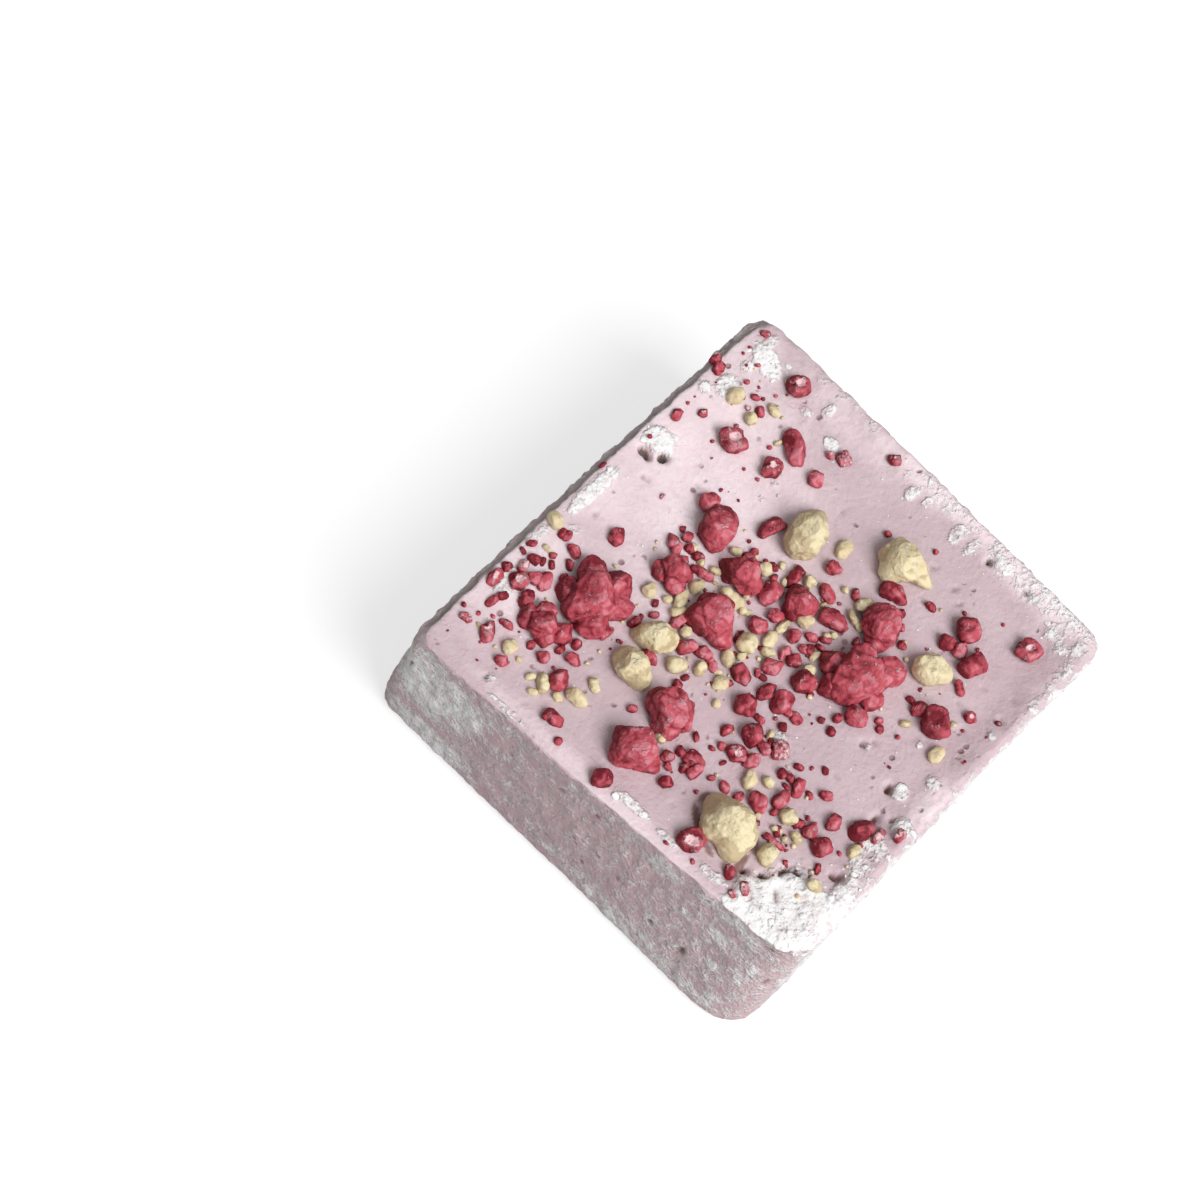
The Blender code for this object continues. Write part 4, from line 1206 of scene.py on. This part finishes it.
def marshmallowMaterial():
    look = marshmallowLook
    material, tree, shader = newMaterial("marshmallowFoam", look["shader"])
    powder = attributeOutput(tree, (-1200, 300), "powder")
    veilAndPaintedLight = attributeOutput(tree, (-1200, 100), "veilAndPaintedLight")
    stainAndShade = attributeOutput(tree, (-1200, -100), "stainAndShade")
    lying = placeGroup(tree, dustGroup, (-900, 300), {"Amount": powder, **look["lyingDust"]})
    clinging = placeGroup(tree, dustGroup, (-900, 600), {"Amount": powder, **look["clingingDust"]})
    grain = placeGroup(tree, grainGroup, (-900, -100), look["grain"])
    pits = placeGroup(tree, pinholeGroup, (-900, -400), look["pits"])
    pink = mixColour(tree, (-400, 300), grain["Tone"], look["deepPink"], look["skinPink"])
    # the veil pales the skin: partly dust, partly painted light
    veiled = mathNode(tree, (-600, 100), "MULTIPLY_ADD", grain["Height"], 0.5, -0.4)
    veiled = mathNode(tree, (-500, 100), "ADD", veiled, veilAndPaintedLight)
    pale = mapRange(tree, (-400, 100), veiled, 0.0, 1.0)
    bare = mapRange(tree, (-400, -50), veilAndPaintedLight, 0.0, -0.5)
    dust = mixValue(tree, (-200, 600), bare, lying["Mask"], clinging["Mask"])
    dustHeight = mixValue(tree, (-200, 800), bare, lying["Height"], clinging["Height"])
    pink = mixColour(tree, (-200, 300), pale, pink, look["veilPink"])
    pink = mixColour(tree, (-100, 300), bare, pink, look["cutPink"])
    # painted shade in the burst bubbles
    pitShaded = mixColour(tree, (0, 300), pits["Mask"], pink, look["pit"])
    colour = mixColour(tree, (200, 300), dust, pitShaded, look["sugarWhite"])
    # real stains, and painted shade in cracks and holes, darken the colour
    stainShadeShare = mapRange(tree, (200, 0), stainAndShade, 0.0, 1.0, 0.0, 0.9)
    crackShadowShare = mapRange(tree, (200, 150), stainAndShade, 0.85, 1.3)
    tint = mixColour(tree, (300, 150), crackShadowShare, look["stainAndShade"], look["crack"])
    colour = mixColour(tree, (400, 300), stainShadeShare, colour, tint)
    # painted shade: grey along the left rim
    paintedEdgeShade = attributeOutput(tree, (200, -150), "paintedEdgeShade")
    colour = mixColour(tree, (600, 300), paintedEdgeShade, colour, look["paintedEdgeShade"])
    tree.links.new(colour, shader.inputs["Base Color"])
    rough = mapRange(tree, (400, -100), dust, 0.0, 1.0, look["skinRoughness"], look["sugarRoughness"])
    tree.links.new(rough, shader.inputs["Roughness"])
    height = mathNode(tree, (0, -300), "MULTIPLY_ADD", dustHeight, look["dustBump"], grain["Height"])
    height = mathNode(tree, (400, -300), "ADD", height, pits["Height"])
    addBump(tree, (650, -300), height, look["bump"], 0.9, shader)
    return material


berryLook = {
    "colours": ((0.20, 0.012, 0.024), (0.48, 0.075, 0.102), (0.63, 0.205, 0.25)),  # deep red, red, pink; the deep red also carries painted shade and the pink painted light
    "dust": (0.86, 0.56, 0.59),
    "lowTones": (0.0, 0.5),
    "highTones": (0.48, 0.9),
    "mottling": 0.36,
    "roughness": 0.62,
    "bump": 0.00018,
    "shader": {"Subsurface Weight": 0.12, "Subsurface Radius": (1.0, 0.3, 0.3), "Subsurface Scale": 0.0004,
               "Specular IOR Level": 0.3},
}

creamLook = {
    "colours": ((0.34, 0.215, 0.1), (0.75, 0.655, 0.425), (0.67, 0.545, 0.34)),    # crust, cream, tan; the crust also carries painted shade
    "dust": (0.88, 0.84, 0.76),
    "lowTones": (-0.25, 0.25),
    "highTones": (0.45, 0.9),
    "mottling": 0.45,
    "roughness": 0.55,
    "bump": 0.00014,
    "shader": {"Subsurface Weight": 0.2, "Subsurface Radius": (1.0, 0.8, 0.5), "Subsurface Scale": 0.0005,
               "Specular IOR Level": 0.35},
}

toppingGrain = {"Coarse Size": 1100.0, "Fine Size": 3400.0, "Fine Share": 0.8}
toppingDust = {"Patch Size": 1400.0, "Grain Size": 3600.0, "Low": 0.42, "High": 0.85}
dustRoughness = 0.9


def toppingMaterial(name, look):
    # dark, middle and light colours, mixed by each piece's own tone and a grain over it; the tone also holds
    # painted light on upward faces and painted shade in hollows, creases, at the base and on one side
    material, tree, shader = newMaterial(name, look["shader"])
    amount = attributeOutput(tree, (-1200, 300), "powder")
    tone = attributeOutput(tree, (-1200, 0), "tone")
    dust = placeGroup(tree, dustGroup, (-900, 300), {"Amount": amount, **toppingDust})
    grain = placeGroup(tree, grainGroup, (-900, -100), toppingGrain)
    mottling = look["mottling"]
    mottled = mathNode(tree, (-600, 0), "MULTIPLY_ADD", grain["Tone"], mottling, -0.5 * mottling)
    toned = mathNode(tree, (-400, 0), "ADD", tone, mottled, clamp=True)
    low = mapRange(tree, (-200, 100), toned, *look["lowTones"])
    high = mapRange(tree, (-200, -100), toned, *look["highTones"])
    dark, middle, light = look["colours"]
    colour = mixColour(tree, (0, 100), low, dark, middle)
    colour = mixColour(tree, (200, 100), high, colour, light)
    colour = mixColour(tree, (400, 100), dust["Mask"], colour, look["dust"])
    tree.links.new(colour, shader.inputs["Base Color"])
    rough = mapRange(tree, (400, -150), dust["Mask"], 0.0, 1.0, look["roughness"], dustRoughness)
    tree.links.new(rough, shader.inputs["Roughness"])
    height = mathNode(tree, (400, -350), "ADD", grain["Height"], dust["Height"])
    addBump(tree, (650, -350), height, look["bump"], 0.9, shader)
    return material


sugarLook = {
    "white": (0.90, 0.885, 0.885),
    "shade": (0.82, 0.79, 0.80),
    "roughness": (0.78, 0.92),
    "bump": 0.00006,
    "grain": {"Coarse Size": 1800.0, "Fine Size": 7000.0, "Fine Share": 0.7},
    "shader": {"Subsurface Weight": 0.25, "Subsurface Radius": (1.0, 1.0, 1.0), "Subsurface Scale": 0.0004,
               "Specular IOR Level": 0.4},
}


def sugarMaterial():
    look = sugarLook
    material, tree, shader = newMaterial("looseSugar", look["shader"])
    grain = placeGroup(tree, grainGroup, (-600, 0), look["grain"])
    colour = mixColour(tree, (0, 100), grain["Tone"], look["shade"], look["white"])
    tree.links.new(colour, shader.inputs["Base Color"])
    rough = mapRange(tree, (0, -100), grain["Tone"], 0.0, 1.0, *look["roughness"])
    tree.links.new(rough, shader.inputs["Roughness"])
    addBump(tree, (300, -300), grain["Height"], look["bump"], 0.7, shader)
    return material


print("stage: materials")
foamMaterial = marshmallowMaterial()
berryMaterial = toppingMaterial("driedBerry", berryLook)
creamMaterial = toppingMaterial("creamNugget", creamLook)
grainMaterial = sugarMaterial()

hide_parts("marshmallow")
finishes = ((slabObject, foamMaterial, "marshmallow_pink"), (redObject, berryMaterial, "berry_red"),
            (redCrumbs, berryMaterial, "berry_red"), (creamObject, creamMaterial, "cream_biscuit"),
            (creamCrumbs, creamMaterial, "cream_biscuit"), (redBits, berryMaterial, "berry_red"),
            (creamBits, creamMaterial, "cream_biscuit"), (sugarObject, grainMaterial, "marshmallow_pink"))
for piece, material, slotName in finishes:
    piece.data.materials.append(material)
    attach(piece, "root")
for piece in chunkObjects:
    piece.data.materials.append(berryMaterial if piece.name.startswith("red") else creamMaterial)
    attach(piece, "root")


stageLook = {
    "floorColour": (0.42, 0.418, 0.418),
    "floorGlow": (0.66, 0.658, 0.658),   # only the camera sees it, so it doesn't light the slab's sides
    "floorReach": 5.0,
    "skyColour": (1.0, 0.995, 0.99),
    "skyTowards": (0.85, -0.45, 0.2),    # its bright side
    "skyBright": 0.44,
    "skyDark": 0.3,
    "skySeen": 0.815,        # beyond the floor the camera sees the floor's own brightness
    "keyAzimuth": -12.0,     # degrees from +X towards +Y
    "keyElevation": 50.0,
    "keyDistance": 0.75,
    "keySize": 0.5,
    "keyPower": 5.7,
}


def buildFloor():
    mesh = bmesh.new()
    bmesh.ops.create_grid(mesh, x_segments=4, y_segments=4, size=stageLook["floorReach"])
    data = bpy.data.meshes.new("floor")
    mesh.to_mesh(data)
    mesh.free()
    floor = bpy.data.objects.new("floor", data)
    bpy.context.scene.collection.objects.link(floor)
    material, tree, shader = newMaterial("paleFloor", {"Roughness": 0.9, "Specular IOR Level": 0.2})
    sizes = {"Coarse Size": 6.0, "Fine Size": 300.0, "Fine Share": 0.3}
    grain = placeGroup(tree, grainGroup, (-600, 0), sizes)
    pale = stageLook["floorColour"]
    colour = mixColour(tree, (0, 0), grain["Tone"], tuple(channel * 0.99 for channel in pale), pale)
    tree.links.new(colour, shader.inputs["Base Color"])
    shader.inputs["Emission Color"].default_value = (*stageLook["floorGlow"], 1.0)
    seen = addNode(tree, "ShaderNodeLightPath", (300, -300)).outputs["Is Camera Ray"]
    tree.links.new(seen, shader.inputs["Emission Strength"])
    data.materials.append(material)


def buildSky():
    world = bpy.data.worlds.new("softRoom")
    bpy.context.scene.world = world
    world.use_nodes = True
    tree = world.node_tree
    sky = tree.nodes["Background"]
    direction = addNode(tree, "ShaderNodeTexCoord", (-800, 0)).outputs["Generated"]
    facing = addNode(tree, "ShaderNodeVectorMath", (-600, 0), {"operation": "DOT_PRODUCT"},
                     {0: direction, 1: stageLook["skyTowards"]})
    strength = mapRange(tree, (-300, 0), facing.outputs["Value"], -0.75, 0.75, stageLook["skyDark"],
                        stageLook["skyBright"])
    seen = addNode(tree, "ShaderNodeLightPath", (-300, -200)).outputs["Is Camera Ray"]
    feed(tree, sky.inputs["Color"], stageLook["skyColour"])
    feed(tree, sky.inputs["Strength"], mixValue(tree, (-100, 0), seen, strength, stageLook["skySeen"]))


def buildKeyLight():
    azimuth, elevation = math.radians(stageLook["keyAzimuth"]), math.radians(stageLook["keyElevation"])
    direction = Vector((math.cos(azimuth) * math.cos(elevation), math.sin(azimuth) * math.cos(elevation),
                        math.sin(elevation)))
    lamp = bpy.data.lights.new("window", "AREA")
    lamp.shape = "DISK"
    lamp.size = stageLook["keySize"]
    lamp.energy = stageLook["keyPower"]
    window = bpy.data.objects.new("window", lamp)
    window.location = direction * stageLook["keyDistance"]
    window.rotation_euler = direction.to_track_quat("Z", "Y").to_euler()
    bpy.context.scene.collection.objects.link(window)


cameraView = {
    "azimuth": 16.7,         # degrees from the front towards +X
    "elevation": 61.5,
    "roll": 28.0,
    "distance": 177.3,       # mm from the aim
    "aim": (-11.3, -9.4, 16.25),
    "imageWidth": 1200.0,
    "focalPixels": 2236.0,
    "sensorWidth": 36.0,
}


def buildCamera():
    azimuth, elevation = math.radians(cameraView["azimuth"]), math.radians(cameraView["elevation"])
    back = Vector((math.sin(azimuth) * math.cos(elevation), -math.cos(azimuth) * math.cos(elevation),
                   math.sin(elevation)))
    right = (-back).cross(Vector((0, 0, 1))).normalized()
    up = right.cross(-back)
    roll = math.radians(cameraView["roll"])
    turnedRight = right * math.cos(roll) + up * math.sin(roll)
    turnedUp = up * math.cos(roll) - right * math.sin(roll)
    place = (Vector(cameraView["aim"]) + back * cameraView["distance"]) * mm
    lens = bpy.data.cameras.new("camera")
    lens.sensor_width = cameraView["sensorWidth"]
    lens.sensor_fit = "HORIZONTAL"
    lens.lens = cameraView["sensorWidth"] * cameraView["focalPixels"] / cameraView["imageWidth"]
    lens.clip_start = 0.01
    lens.clip_end = 20.0
    camera = bpy.data.objects.new("camera", lens)
    camera.matrix_world = Matrix(((turnedRight.x, turnedUp.x, back.x, place.x),
                                  (turnedRight.y, turnedUp.y, back.y, place.y),
                                  (turnedRight.z, turnedUp.z, back.z, place.z),
                                  (0.0, 0.0, 0.0, 1.0)))
    bpy.context.scene.collection.objects.link(camera)
    bpy.context.scene.camera = camera


print("stage: floor, light, camera")
buildFloor()
buildSky()
buildKeyLight()
buildCamera()
bpy.context.scene.view_settings.view_transform = "Standard"

print("stage: done")
